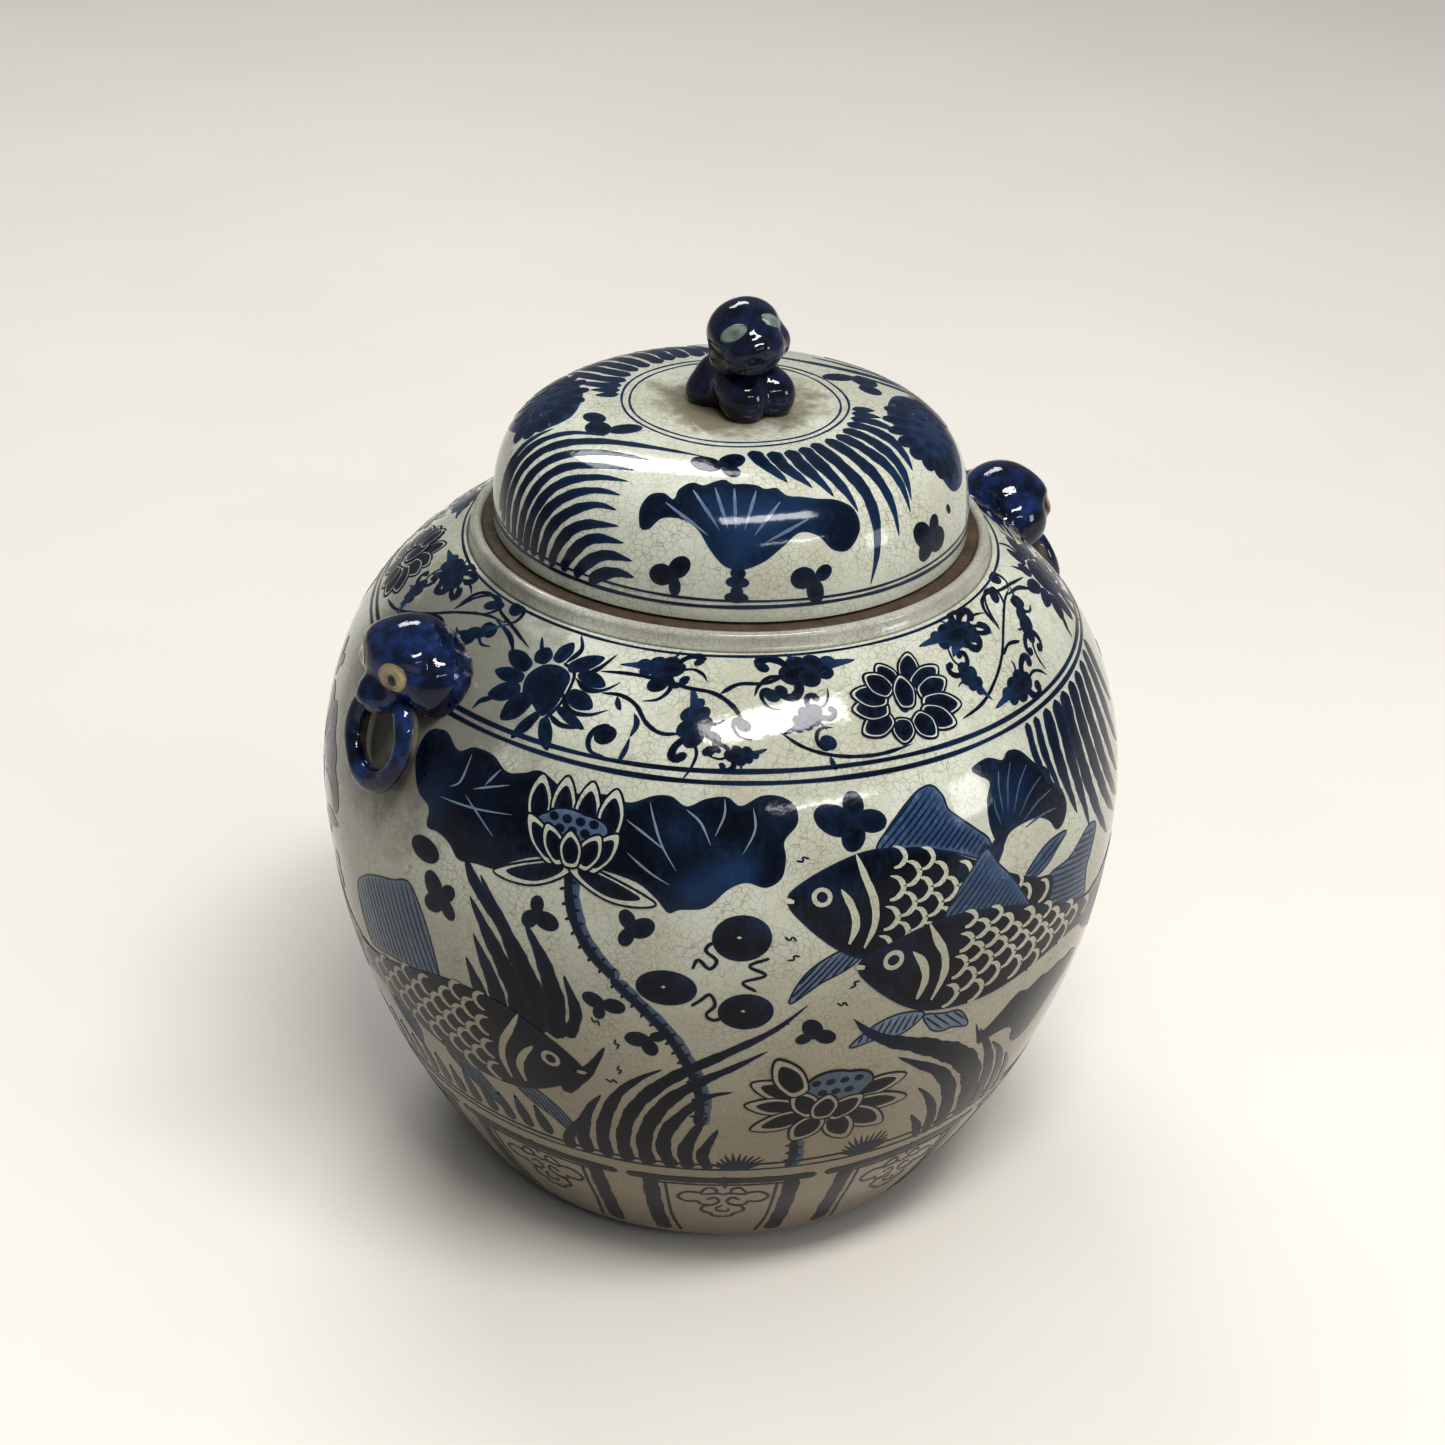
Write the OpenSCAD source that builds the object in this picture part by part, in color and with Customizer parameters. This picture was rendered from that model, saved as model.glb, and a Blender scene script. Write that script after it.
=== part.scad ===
/* [Jar body] */
// Largest radius of the jar, at the belly
body_r = 159.5; // [150:1:175]
// Height of the belly above the surface the jar stands on
belly_z = 164; // [158:1:170]
// Height of the unglazed mouth ledge that the lid rests on
ledge_z = 274; // [271:1:276]
// Thickness of the thrown wall
wall = 7; // [5:0.5:9]
// Thickness of the floor
floor_t = 9; // [7:1:14]
// Radius of the mouth opening
mouth_r = 80; // [78:1:82]
// Outer radius of the glazed bead round the mouth
bead_r = 100; // [98:0.5:101]

/* [Foot] */
// Height of the turned foot ring
foot_h = 5; // [4.6:0.2:7]
// Outer radius of the foot ring
foot_r = 90; // [86:1:92]
// Width of the face that the foot ring stands on
foot_w = 14; // [10:1:16]

/* [Lid] */
// Outer radius of the lid's rim
lid_r = 91.5; // [90:0.5:93]
// Height of the lid above the mouth ledge, without the finial
lid_h = 48.3; // [44:0.5:54]
// Thickness of the lid
lid_wall = 6; // [5:0.5:8]
// Gap left between the lid and the mouth ledge
seat_gap = 0.3; // [0.2:0.1:0.6]
// Outer radius of the locating flange under the lid
flange_r = 78; // [75:0.5:78]
// How far the flange reaches down into the mouth
flange_drop = 10; // [6:1:14]

/* [Finial] */
// Height of the lion finial above the lid
finial_h = 45; // [42:1:52]
// Radius of the lion's head
skull_r = 13.5; // [12:0.5:15]

/* [Handles] */
// Height of the centre of each beast head
head_z = 249; // [247:1:251]
// Radius of the head's crown
crown_r = 19.5; // [18:0.5:21]
// Height of the centre of each ring
ring_z = 222.5; // [221:0.5:224]
// Radius from the ring's centre to the middle of its tube
ring_r = 17; // [16:0.5:18]
// Radius of the ring's tube
ring_tube = 4.5; // [4:0.1:4.8]
// Lean of each ring back towards the shoulder, in degrees
ring_lean = 20; // [18:1:22]

/* [Hidden] */

// The shoulder above the belly and the flank below it are quarters of two superellipses with
// their centre on the axis at belly_z: exponent, and reach from belly_z along the axis.
shoulder_p = 2.4;
shoulder_reach = 124.3;
flank_p = 1.8;
flank_reach = 223;
// The lid is a squarer superellipse, with steep sides and a nearly flat top.
lid_side_p = 5.3;
lid_top_q = 2.76;
// Steps along each curve, and facets round the revolved pieces and the modelled ones
curve_steps = 14;
round_fn = 96;
ball_fn = 48;

heel_r = 5;                       // round between the flank and the underside
heel_angle = 31;                  // slope of the flank where the heel round meets it
skirt_h = 3;                      // straight side of the lid above its rim
rim_round = 2;                    // round on the lid's rim
shelf_t = 5;                      // thickness of the shelf inside the lid's rim
flange_t = 5;                     // thickness of the flange
chamfer = 1;                      // broken edge on the foot ring and the flange
bead_round = 4;                   // round on the mouth bead
collar_z = ledge_z - 6;           // underside of the mouth collar
neck_inside_z = collar_z - 9;     // where the inside of the shoulder turns up to the mouth
lid_z = ledge_z + seat_gap;       // underside of the lid's rim
lid_top_z = ledge_z + lid_h;

// Beast head, from the jar's axis outwards: [radius, sideways, height from head_z]
crown_at = [140, 0, 0];
jowl_at = [135, 12, -2];
jowl_r = 13;
snout_at = [154, 0, -9];
snout_r = 12;
eye_at = [154.5, 13.5, 2.5];
eye_r = 4.5;
ring_seat_r = 153.5;              // distance of the ring's centre from the jar's axis

// Lion finial, from the middle of the lid: [sideways, back, up]
haunch_at = [0, 9, 6];
haunch_r = 13;
chest_at = [0, -8, 10];
chest_r = 12.5;
forepaw_at = [8, -14, 6];
forepaw_r = 9;
hindpaw_at = [11, 8, 5];
hindpaw_r = 8;
neck_h = 20;                      // seam between the trunk and the head
skull_back = -12;                 // the head leans out over the forepaws
muzzle_at = [0, -21, 26];
muzzle_r = 8.5;
lion_eye_at = [6.3, -22.2, 35.5];
lion_eye_r = 3;

glaze_blue = [0.10, 0.14, 0.34];
glaze_cream = [0.78, 0.77, 0.70];
biscuit = [0.42, 0.33, 0.25];

// Radius of the jar at height z, less an inward offset of d
function jar_r(z, d = 0) = z > belly_z
    ? (body_r - d) * pow(1 - pow((z - belly_z) / (shoulder_reach - d), shoulder_p), 1 / shoulder_p)
    : (body_r - d) * pow(1 - pow((belly_z - z) / (flank_reach - d), flank_p), 1 / flank_p);

// Points on the jar's wall from height a to height b
function jar_curve(a, b, d = 0) =
    [for (i = [0 : curve_steps]) let (z = a + (b - a) * i / curve_steps) [jar_r(z, d), z]];

// Points on the lid from its rim to the axis, less an inward offset of d
function lid_curve(d = 0) = let (base = lid_z + skirt_h, rise = lid_top_z - base)
    [for (i = [0 : curve_steps]) let (t = 90 * i / curve_steps)
        [(lid_r - d) * pow(max(cos(t), 0), 2 / lid_side_p),
         base + (rise - d) * pow(sin(t), 2 / lid_top_q)]];

// Points on an arc of radius r about (x, z), from angle a to angle b
function arc(x, z, r, a, b, n = 5) =
    [for (i = [0 : n]) let (t = a + (b - a) * i / n) [x + r * cos(t), z + r * sin(t)]];

module revolve() { rotate_extrude($fn = round_fn) children(); }

module ball(at, r) { translate(at) sphere(r = r, $fn = ball_fn); }

// A ball on each side of the plane between left and right
module pair(at, r) {
    for (s = [-1, 1]) ball([s * at[0], at[1], at[2]], r);
}

// The jar's whole outer shape, which the handles are fitted to
module jar_core() {
    revolve() polygon(concat([[0, foot_h]], jar_curve(foot_h, belly_z), jar_curve(belly_z, collar_z),
        [[0, collar_z]]));
}

// The lid's whole outer shape, which the finial is fitted to
module lid_core() {
    revolve() polygon(concat([[0, lid_z], [lid_r, lid_z]], lid_curve()));
}

module foot_ring() {
    inner = foot_r - foot_w;
    color(biscuit) revolve()
        polygon([[inner, 0], [foot_r - chamfer, 0], [foot_r, chamfer],
            [foot_r + chamfer, foot_h], [inner, foot_h]]);
}

// Lower thrown half: floor, heel and flank, up to the seam at the belly
module lower_body() {
    flank_z = foot_h + heel_r * (1 - sin(heel_angle));
    heel_x = jar_r(flank_z) - heel_r * cos(heel_angle);
    floor_z = foot_h + floor_t;
    color(glaze_cream) revolve()
        polygon(concat([[0, foot_h]], arc(heel_x, foot_h + heel_r, heel_r, -90, -heel_angle - 5),
            jar_curve(flank_z, belly_z), jar_curve(belly_z, floor_z, wall), [[0, floor_z]]));
}

// Upper thrown half: from the seam over the shoulder to the mouth collar
module upper_body() {
    color(glaze_cream) revolve()
        polygon(concat(jar_curve(belly_z, collar_z), [[mouth_r, collar_z]],
            jar_curve(neck_inside_z, belly_z, wall)));
}

// Collar: a glazed bead outside and a flat unglazed ledge inside
module mouth_collar() {
    color(biscuit) revolve()
        polygon(concat([[mouth_r, collar_z], [bead_r, collar_z]],
            arc(bead_r - bead_round, ledge_z - bead_round, bead_round, 0, 90), [[mouth_r, ledge_z]]));
}

module hanging_ring() {
    translate([ring_seat_r, 0, ring_z]) rotate([0, 90 - ring_lean, 0])
        rotate_extrude($fn = ball_fn) translate([ring_r, 0]) circle(r = ring_tube, $fn = ball_fn);
}

// Two pellets, half sunk in sockets in the head
module beast_eyes() {
    translate([0, 0, head_z]) for (s = [-1, 1]) ball([eye_at[0], s * eye_at[1], eye_at[2]], eye_r);
}

// Beast's head with the ring through its jaws, cut to sit on the shoulder
module beast_head() {
    difference() {
        translate([0, 0, head_z]) union() {
            ball(crown_at, crown_r);
            ball(snout_at, snout_r);
            for (s = [-1, 1]) ball([jowl_at[0], s * jowl_at[1], jowl_at[2]], jowl_r);
        }
        jar_core();
        hanging_ring();
        beast_eyes();
    }
}

module beast_ring() {
    difference() {
        hanging_ring();
        jar_core();
    }
}

module left() { rotate([0, 0, 180]) children(); }

module left_handle_head() { color(glaze_blue) left() beast_head(); }
module left_handle_eyes() { color(glaze_cream) left() beast_eyes(); }
module left_handle_ring() { color(glaze_blue) left() beast_ring(); }
module right_handle_head() { color(glaze_blue) beast_head(); }
module right_handle_eyes() { color(glaze_cream) beast_eyes(); }
module right_handle_ring() { color(glaze_blue) beast_ring(); }

// Lid: a domed shell with a rim shelf that the flange is luted under
module lid_dome() {
    inside = lid_curve(lid_wall);
    shelf_r = flange_r - flange_t;
    color(glaze_cream) revolve()
        polygon(concat([[shelf_r, lid_z]],
            arc(lid_r - rim_round, lid_z + rim_round, rim_round, -90, 0), lid_curve(),
            [for (i = [curve_steps : -1 : 1]) inside[i]],
            [[lid_r - lid_wall, lid_z + shelf_t], [shelf_r, lid_z + shelf_t]]));
}

module lid_flange() {
    low = lid_z - flange_drop;
    color(biscuit) revolve()
        polygon([[flange_r - flange_t, low], [flange_r - chamfer, low], [flange_r, low + chamfer],
            [flange_r, lid_z], [flange_r - flange_t, lid_z]]);
}

// Everything between two heights above the lid's top
module slab(low, high) {
    half = 40;
    translate([-half, -half, lid_top_z + low]) cube([2 * half, 2 * half, high - low]);
}

module lion_trunk() {
    difference() {
        intersection() {
            translate([0, 0, lid_top_z]) union() {
                ball(haunch_at, haunch_r);
                ball(chest_at, chest_r);
                pair(forepaw_at, forepaw_r);
                pair(hindpaw_at, hindpaw_r);
            }
            slab(-skirt_h, neck_h);
        }
        lid_core();
    }
}

module lion_head() {
    intersection() {
        translate([0, 0, lid_top_z]) union() {
            ball([0, skull_back, finial_h - skull_r], skull_r);
            ball(muzzle_at, muzzle_r);
        }
        slab(neck_h, finial_h + 1);
    }
}

module finial_body() { color(glaze_blue) lion_trunk(); }
module finial_head() { color(glaze_blue) lion_head(); }

module finial_eyes() {
    color(glaze_cream) difference() {
        translate([0, 0, lid_top_z]) pair(lion_eye_at, lion_eye_r);
        lion_head();
    }
}

foot_ring();
lower_body();
upper_body();
mouth_collar();
left_handle_head();
left_handle_eyes();
left_handle_ring();
right_handle_head();
right_handle_eyes();
right_handle_ring();
lid_dome();
lid_flange();
finial_body();
finial_head();
finial_eyes();
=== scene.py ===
"""Blue and white ginger jar: crackled glaze, cobalt brushwork, modelled handles and lion finial."""

import math

import bmesh
import bpy
import numpy as np
from mathutils import Matrix, Vector
from mathutils.geometry import delaunay_2d_cdt


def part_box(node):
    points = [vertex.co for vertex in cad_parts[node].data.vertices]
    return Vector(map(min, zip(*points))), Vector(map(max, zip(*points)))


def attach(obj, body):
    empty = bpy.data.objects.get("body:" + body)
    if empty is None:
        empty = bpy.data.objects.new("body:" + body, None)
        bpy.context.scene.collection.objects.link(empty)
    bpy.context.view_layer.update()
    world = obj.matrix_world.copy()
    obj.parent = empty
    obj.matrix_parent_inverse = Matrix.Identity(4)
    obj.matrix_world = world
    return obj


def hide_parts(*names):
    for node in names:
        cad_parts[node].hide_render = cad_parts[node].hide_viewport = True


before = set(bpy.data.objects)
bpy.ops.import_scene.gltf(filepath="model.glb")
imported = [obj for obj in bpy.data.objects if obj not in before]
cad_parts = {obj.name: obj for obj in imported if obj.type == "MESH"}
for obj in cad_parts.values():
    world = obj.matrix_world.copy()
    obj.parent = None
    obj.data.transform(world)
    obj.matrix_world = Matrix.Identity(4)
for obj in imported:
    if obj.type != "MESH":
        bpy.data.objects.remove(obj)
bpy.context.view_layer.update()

# ---------------------------------------------------------------- sizes, in millimetres

MM = 0.001


def box_mm(node):
    """Lowest and highest corner of a CAD node, in millimetres."""
    low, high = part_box(node)
    return np.array(low) / MM, np.array(high) / MM


FOOT_TOP = box_mm("foot_ring")[1][2]
BODY_R = box_mm("lower_body")[1][0]
BELLY_Z = box_mm("lower_body")[1][2]
COLLAR_Z = box_mm("upper_body")[1][2]
LEDGE_Z = box_mm("mouth_collar")[1][2]
BEAD_R = box_mm("mouth_collar")[1][0]
LID_R = box_mm("lid_dome")[1][0]
LID_Z = box_mm("lid_dome")[0][2]
LID_TOP = box_mm("lid_dome")[1][2]
FLANGE_R = box_mm("lid_flange")[1][0]

WALL = 7.0
FLOOR = 9.0
MOUTH_R = 80.0
SHOULDER_P, SHOULDER_REACH = 2.4, 124.3
FLANK_P, FLANK_REACH = 1.8, 223.0
LID_SIDE_P, LID_TOP_Q = 5.3, 2.76
LID_SKIRT = 3.0
LID_WALL = 6.0
LEDGE_OUT_R = 95.6          # where the bare ledge meets the glazed bead

FRONT = math.radians(-35.5)  # azimuth of the painting's front meridian, from -Y towards +X
TURNS = 288                  # facets round each turned piece


# ---------------------------------------------------------------- turned surfaces

def jar_radius(z, inset=0.0):
    """Radius of the jar's wall at height z: two quarters of superellipses that meet at the belly."""
    above = z > BELLY_Z
    power = np.where(above, SHOULDER_P, FLANK_P)
    reach = np.where(above, SHOULDER_REACH, FLANK_REACH) - inset
    along = np.minimum(np.abs(z - BELLY_Z) / reach, 1.0)
    return (BODY_R - inset) * (1 - along ** power) ** (1 / power)


def jar_profile(low, high, inset=0.0, step=2.0):
    """Points (r, z) of the wall from one height to another, moved in by inset."""
    z = np.linspace(low, high, int(abs(high - low) / step) + 2)
    return np.stack([jar_radius(z, inset), z], axis=1)


def lid_profile(inset=0.0, steps=120):
    """The lid from the top of its skirt to the axis."""
    turn = np.radians(90) * np.linspace(0, 1, steps + 1)
    base = LID_Z + LID_SKIRT
    radius = (LID_R - inset) * np.clip(np.cos(turn), 0, 1) ** (2 / LID_SIDE_P)
    height = base + (LID_TOP - base - inset) * np.sin(turn) ** (2 / LID_TOP_Q)
    radius[-1] = 0
    return np.stack([radius, height], axis=1)


def throwing_wobble(azimuth, s):
    """Slight unevenness left by the wheel and the kiln, in millimetres."""
    return (0.35 * np.sin(2 * azimuth + 0.7) + 0.16 * np.sin(3 * azimuth + s / 31)
            + 0.12 * np.sin(s / 9.5 + 1.3) + 0.08 * np.sin(5 * azimuth - s / 17))


class Turned:
    """A turned surface: azimuth in radians from the front meridian, s in mm up its profile."""

    def __init__(self, profile, wobble=1.0):
        self.r, self.z = profile[:, 0], profile[:, 1]
        self.s = np.concatenate([[0], np.cumsum(np.hypot(np.diff(self.r), np.diff(self.z)))])
        self.wobble = wobble

    def height(self, z):
        """Arc length at height z."""
        return float(np.interp(z, self.z, self.s))

    def radius(self, s):
        return np.interp(s, self.s, self.r)

    def nearest(self, points):
        """Arc length of the profile's nearest point to each (r, z)."""
        gap = np.hypot(points[:, :1] - self.r, points[:, 1:] - self.z)
        return self.s[np.argmin(gap, axis=1)]

    def _point(self, azimuth, s):
        r = np.interp(s, self.s, self.r)
        r = r + self.wobble * throwing_wobble(azimuth, s) * np.clip(r / 40, 0, 1)
        angle = azimuth + FRONT
        return np.stack([r * np.sin(angle), -r * np.cos(angle), np.interp(s, self.s, self.z)], axis=-1)

    def at(self, azimuth, s, lift=0.0):
        """Point and outward normal, in millimetres."""
        ds, da = 1.5, 0.01
        up = self._point(azimuth, s + ds) - self._point(azimuth, s - ds)
        round_ = self._point(azimuth + da, s) - self._point(azimuth - da, s)
        normal = np.cross(round_, up)
        normal /= np.linalg.norm(normal, axis=-1, keepdims=True) + 1e-12
        return self._point(azimuth, s) + normal * np.asarray(lift)[..., None], normal


JAR = Turned(jar_profile(FOOT_TOP, COLLAR_Z, step=1.0))
LID = Turned(np.concatenate([[[LID_R, LID_Z]], lid_profile(steps=400)]), wobble=0.6)


# ---------------------------------------------------------------- node materials

def linear(*rgb):
    """sRGB 0-255 to a linear colour."""
    part = [c / 255 for c in rgb]
    return [c / 12.92 if c <= 0.04045 else ((c + 0.055) / 1.055) ** 2.4 for c in part] + [1.0]


class Material:
    """A Principled material with short calls for the nodes used here."""

    def __init__(self, name, **sockets):
        self.material = bpy.data.materials.new(name)
        self.material.use_nodes = True
        self.tree = self.material.node_tree
        self.shader = self.tree.nodes["Principled BSDF"]
        for socket, value in sockets.items():
            self.shader.inputs[socket.replace("_", " ")].default_value = value
        self.place = self.tree.nodes.new("ShaderNodeTexCoord").outputs["Object"]

    def link(self, value, socket):
        if isinstance(value, bpy.types.NodeSocket):
            self.tree.links.new(value, socket)
        else:
            socket.default_value = value

    def node(self, kind, **settings):
        made = self.tree.nodes.new(kind)
        for key, value in settings.items():
            setattr(made, key, value)
        return made

    def noise(self, scale, detail=3.0, roughness=0.55, stretch=None, distortion=0.0):
        where = self.place
        if stretch:
            mapping = self.node("ShaderNodeMapping")
            mapping.inputs["Scale"].default_value = stretch
            self.link(where, mapping.inputs["Vector"])
            where = mapping.outputs["Vector"]
        made = self.node("ShaderNodeTexNoise")
        self.link(where, made.inputs["Vector"])
        made.inputs["Scale"].default_value = scale
        made.inputs["Detail"].default_value = detail
        made.inputs["Roughness"].default_value = roughness
        made.inputs["Distortion"].default_value = distortion
        return made.outputs["Fac"]

    def ramp(self, value, low, high, out_low=0.0, out_high=1.0):
        made = self.node("ShaderNodeMapRange", clamp=True, interpolation_type="SMOOTHSTEP")
        self.link(value, made.inputs["Value"])
        for socket, number in zip(("From Min", "From Max", "To Min", "To Max"),
                                  (low, high, out_low, out_high)):
            made.inputs[socket].default_value = number
        return made.outputs["Result"]

    def mix(self, factor, a, b):
        made = self.node("ShaderNodeMix", data_type="RGBA")
        self.link(factor, made.inputs["Factor"])
        self.link(a, made.inputs["A"])
        self.link(b, made.inputs["B"])
        return made.outputs["Result"]

    def math(self, operation, a, b=0.0):
        made = self.node("ShaderNodeMath", operation=operation, use_clamp=False)
        self.link(a, made.inputs[0])
        self.link(b, made.inputs[1])
        return made.outputs[0]

    def attribute(self, name):
        return self.node("ShaderNodeAttribute", attribute_name=name).outputs["Fac"]

    def height(self):
        made = self.node("ShaderNodeSeparateXYZ")
        self.link(self.place, made.inputs[0])
        return made.outputs["Z"]

    def away(self, x, y, z):
        """Distance from a point in millimetres, in metres."""
        made = self.node("ShaderNodeVectorMath", operation="DISTANCE")
        self.link(self.place, made.inputs[0])
        made.inputs[1].default_value = (x * MM, y * MM, z * MM)
        return made.outputs["Value"]

    def crackle(self, cell, line, wander=0.0012):
        """1 on the lines of a crackle with cells and lines of these sizes in metres, else 0."""
        warp = self.node("ShaderNodeTexNoise", noise_dimensions="3D")
        self.link(self.place, warp.inputs["Vector"])
        warp.inputs["Scale"].default_value = 0.6 / cell
        offset = self.node("ShaderNodeVectorMath", operation="SCALE")
        self.link(warp.outputs["Color"], offset.inputs[0])
        offset.inputs["Scale"].default_value = wander
        moved = self.node("ShaderNodeVectorMath", operation="ADD")
        self.link(self.place, moved.inputs[0])
        self.link(offset.outputs[0], moved.inputs[1])
        cells = self.node("ShaderNodeTexVoronoi", feature="DISTANCE_TO_EDGE")
        self.link(moved.outputs[0], cells.inputs["Vector"])
        cells.inputs["Scale"].default_value = 1 / cell
        return self.ramp(cells.outputs["Distance"], 0.4 * line / cell, line / cell, 1.0, 0.0)

    def colour(self, value):
        self.link(value, self.shader.inputs["Base Color"])

    def roughness(self, value):
        self.link(value, self.shader.inputs["Roughness"])

    def bump(self, value, strength, distance):
        made = self.node("ShaderNodeBump")
        self.link(value, made.inputs["Height"])
        made.inputs["Strength"].default_value = strength
        made.inputs["Distance"].default_value = distance
        self.link(made.outputs["Normal"], self.shader.inputs["Normal"])

    def ripple(self):
        """The soft unevenness of the fired glaze, the same over the glaze and the ink under it."""
        self.bump(self.noise(95, detail=3), 0.22, 0.0008)


GREY_CREAM = linear(158, 159, 145)
# painted shade: the darker, browner cream of the jar's lower part
LOW_SHADE_CREAM = linear(118, 105, 84)
PALE_CREAM = linear(180, 183, 171)
CRACK_BROWN = linear(104, 98, 78)
SMOKE_R, SMOKE_Z = 146, 246     # middle of the smoke round each head, in millimetres


def crackle_glaze(name="crackle_glaze", grey=GREY_CREAM, pale=PALE_CREAM):
    """Grey-cream glaze, darker and browner low on the jar as painted shade, browner round the modelled
    pieces, finely crackled.
    """
    m = Material(name, Roughness=0.1, IOR=1.38)
    # painted shade: the cream darkens and browns towards the bottom of the jar
    low_shade = m.ramp(m.height(), 0.235, 0.06)
    base = m.mix(m.ramp(m.noise(14, detail=4), 0.35, 0.7), grey, pale)
    base = m.mix(m.math("MULTIPLY", low_shade, 0.9), base, LOW_SHADE_CREAM)
    stain = m.ramp(m.noise(38, detail=6, roughness=0.7), 0.5, 0.8)
    base = m.mix(m.math("MULTIPLY", stain, 0.4), base, linear(150, 134, 104))
    smoke = m.math("MULTIPLY", m.noise(70, detail=5, roughness=0.65), 0.05)
    for side in (-1, 1):
        near = m.ramp(m.math("ADD", m.away(side * SMOKE_R, 0, SMOKE_Z), smoke), 0.1, 0.066, 0.0, 0.8)
        base = m.mix(near, base, linear(86, 84, 78))
    pool = m.ramp(m.math("ADD", m.away(0, 0, LID_TOP), smoke), 0.062, 0.045, 0.0, 0.75)
    base = m.mix(pool, base, linear(88, 76, 54))
    fade = m.ramp(m.noise(45, detail=2), 0.3, 0.65, 0.15, 0.55)
    base = m.mix(m.math("MULTIPLY", m.crackle(0.0026, 0.00014), fade), base, CRACK_BROWN)
    wide = m.crackle(0.0062, 0.00018, wander=0.002)
    base = m.mix(m.math("MULTIPLY", wide, 0.2), base, CRACK_BROWN)
    speck = m.ramp(m.noise(420, detail=2), 0.68, 0.74)
    base = m.mix(m.math("MULTIPLY", speck, 0.35), base, linear(100, 84, 60))
    m.colour(base)
    m.ripple()
    return m.material


def inner_glaze():
    """Thin, dull glaze inside the jar and the lid."""
    m = Material("inner_glaze", Roughness=0.35, IOR=1.5)
    base = m.mix(m.noise(22, detail=5), linear(170, 160, 136), linear(196, 188, 166))
    base = m.mix(m.math("MULTIPLY", m.crackle(0.005, 0.0003), 0.5), base, CRACK_BROWN)
    m.colour(base)
    m.bump(m.noise(60, detail=4), 0.15, 0.0008)
    return m.material


def brush_ink(name, deep, shaded_brown, thin, streak=1.0, rippled=False):
    """Cobalt under the glaze: deep where it pooled, blue where it lies thin, darker and browner low down as
    painted shade.
    """
    m = Material(name, Roughness=0.1, IOR=1.38, Specular_IOR_Level=0.3)
    patch = m.ramp(m.noise(75, detail=4, roughness=0.65), 0.38, 0.72)
    # painted shade: low on the jar the ink turns browner and runs less thin, so it reads darker
    low_shade = m.ramp(m.height(), 0.24, 0.08)
    shade_browning = m.math("MULTIPLY", low_shade, m.ramp(m.noise(40, detail=3), 0.2, 0.8, 0.5, 0.95))
    base = m.mix(shade_browning, deep, shaded_brown)
    brush = m.ramp(m.noise(520, detail=2, stretch=(1, 1, 0.35)), 0.35, 0.75)
    worn = m.math("MULTIPLY", m.math("MULTIPLY", patch, brush), 0.32 * streak)
    unshaded = m.math("SUBTRACT", 1.0, m.math("MULTIPLY", low_shade, 0.55))
    thinness = m.math("MULTIPLY", m.math("ADD", m.attribute("thin"), worn), unshaded)
    m.colour(m.mix(m.math("MINIMUM", thinness, 1.0), base, thin))
    if rippled:
        m.ripple()
    return m.material


def cobalt_glaze(name, deep, bright):
    """Glossy cobalt poured over the modelled pieces, running thin on the high places."""
    m = Material(name, Roughness=0.07, IOR=1.45)
    cloud = m.ramp(m.noise(95, detail=5, roughness=0.6), 0.38, 0.75)
    base = m.mix(cloud, deep, bright)
    base = m.mix(m.ramp(m.noise(260, detail=3), 0.5, 0.75, 0.0, 0.6), base, deep)
    base = m.mix(m.ramp(m.noise(140, detail=4), 0.62, 0.8, 0.0, 0.35), base, linear(84, 100, 120))
    base = m.mix(m.attribute("thin"), base, linear(122, 112, 90))
    m.colour(base)
    m.bump(m.noise(170, detail=3), 0.22, 0.0012)
    return m.material


def eye_slip(name, light, dark, rim):
    """Pale slip with a brushed black pupil and a brown stained rim."""
    m = Material(name, Roughness=0.16, IOR=1.45)
    base = m.mix(m.noise(300, detail=3), light, dark)
    base = m.mix(m.attribute("rim"), base, rim)
    base = m.mix(m.attribute("pupil"), base, linear(16, 16, 24))
    m.colour(base)
    m.bump(m.noise(400, detail=2), 0.15, 0.0006)
    return m.material


def biscuit():
    """Bare fired clay, brown and gritty, its browns darkened as painted shade for the shadow under the lid's
    overhang.
    """
    m = Material("biscuit", Roughness=0.75, IOR=1.45)
    # painted shade: these clay browns are set darker than the clay, standing for the shade under the lid
    base = m.mix(m.ramp(m.noise(60, detail=6, roughness=0.7), 0.3, 0.7),
                 linear(44, 34, 25), linear(74, 60, 44))
    grit = m.ramp(m.noise(900, detail=2), 0.6, 0.7)
    base = m.mix(m.math("MULTIPLY", grit, 0.6), base, linear(58, 44, 34))
    m.colour(base)
    m.roughness(m.ramp(m.noise(140, detail=3), 0.3, 0.7, 0.6, 0.85))
    m.bump(m.noise(700, detail=4), 0.5, 0.0006)
    return m.material


GLAZE = crackle_glaze()
RIM = crackle_glaze("rim_glaze", linear(138, 137, 126), linear(166, 167, 158))
INNER = inner_glaze()
# the second colour of each ink is its painted shade low on the jar
DARK = brush_ink("underglaze_dark", linear(6, 10, 20), linear(15, 11, 13), linear(32, 56, 88),
                 rippled=True)
WASH = brush_ink("underglaze_wash", linear(40, 62, 92), linear(70, 76, 82), linear(108, 122, 136),
                 streak=1.6)
COBALT = cobalt_glaze("cobalt_glaze", linear(8, 14, 33), linear(29, 51, 98))
DARK_COBALT = cobalt_glaze("cobalt_glaze_dark", linear(8, 11, 24), linear(28, 38, 68))
EYE = eye_slip("eye_slip", linear(158, 148, 118), linear(128, 114, 86), linear(52, 44, 34))
LION_EYE = eye_slip("eye_slip_thin", linear(112, 124, 112), linear(84, 96, 90), linear(40, 48, 58))
BARE = biscuit()


# ---------------------------------------------------------------- mesh helpers

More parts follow.
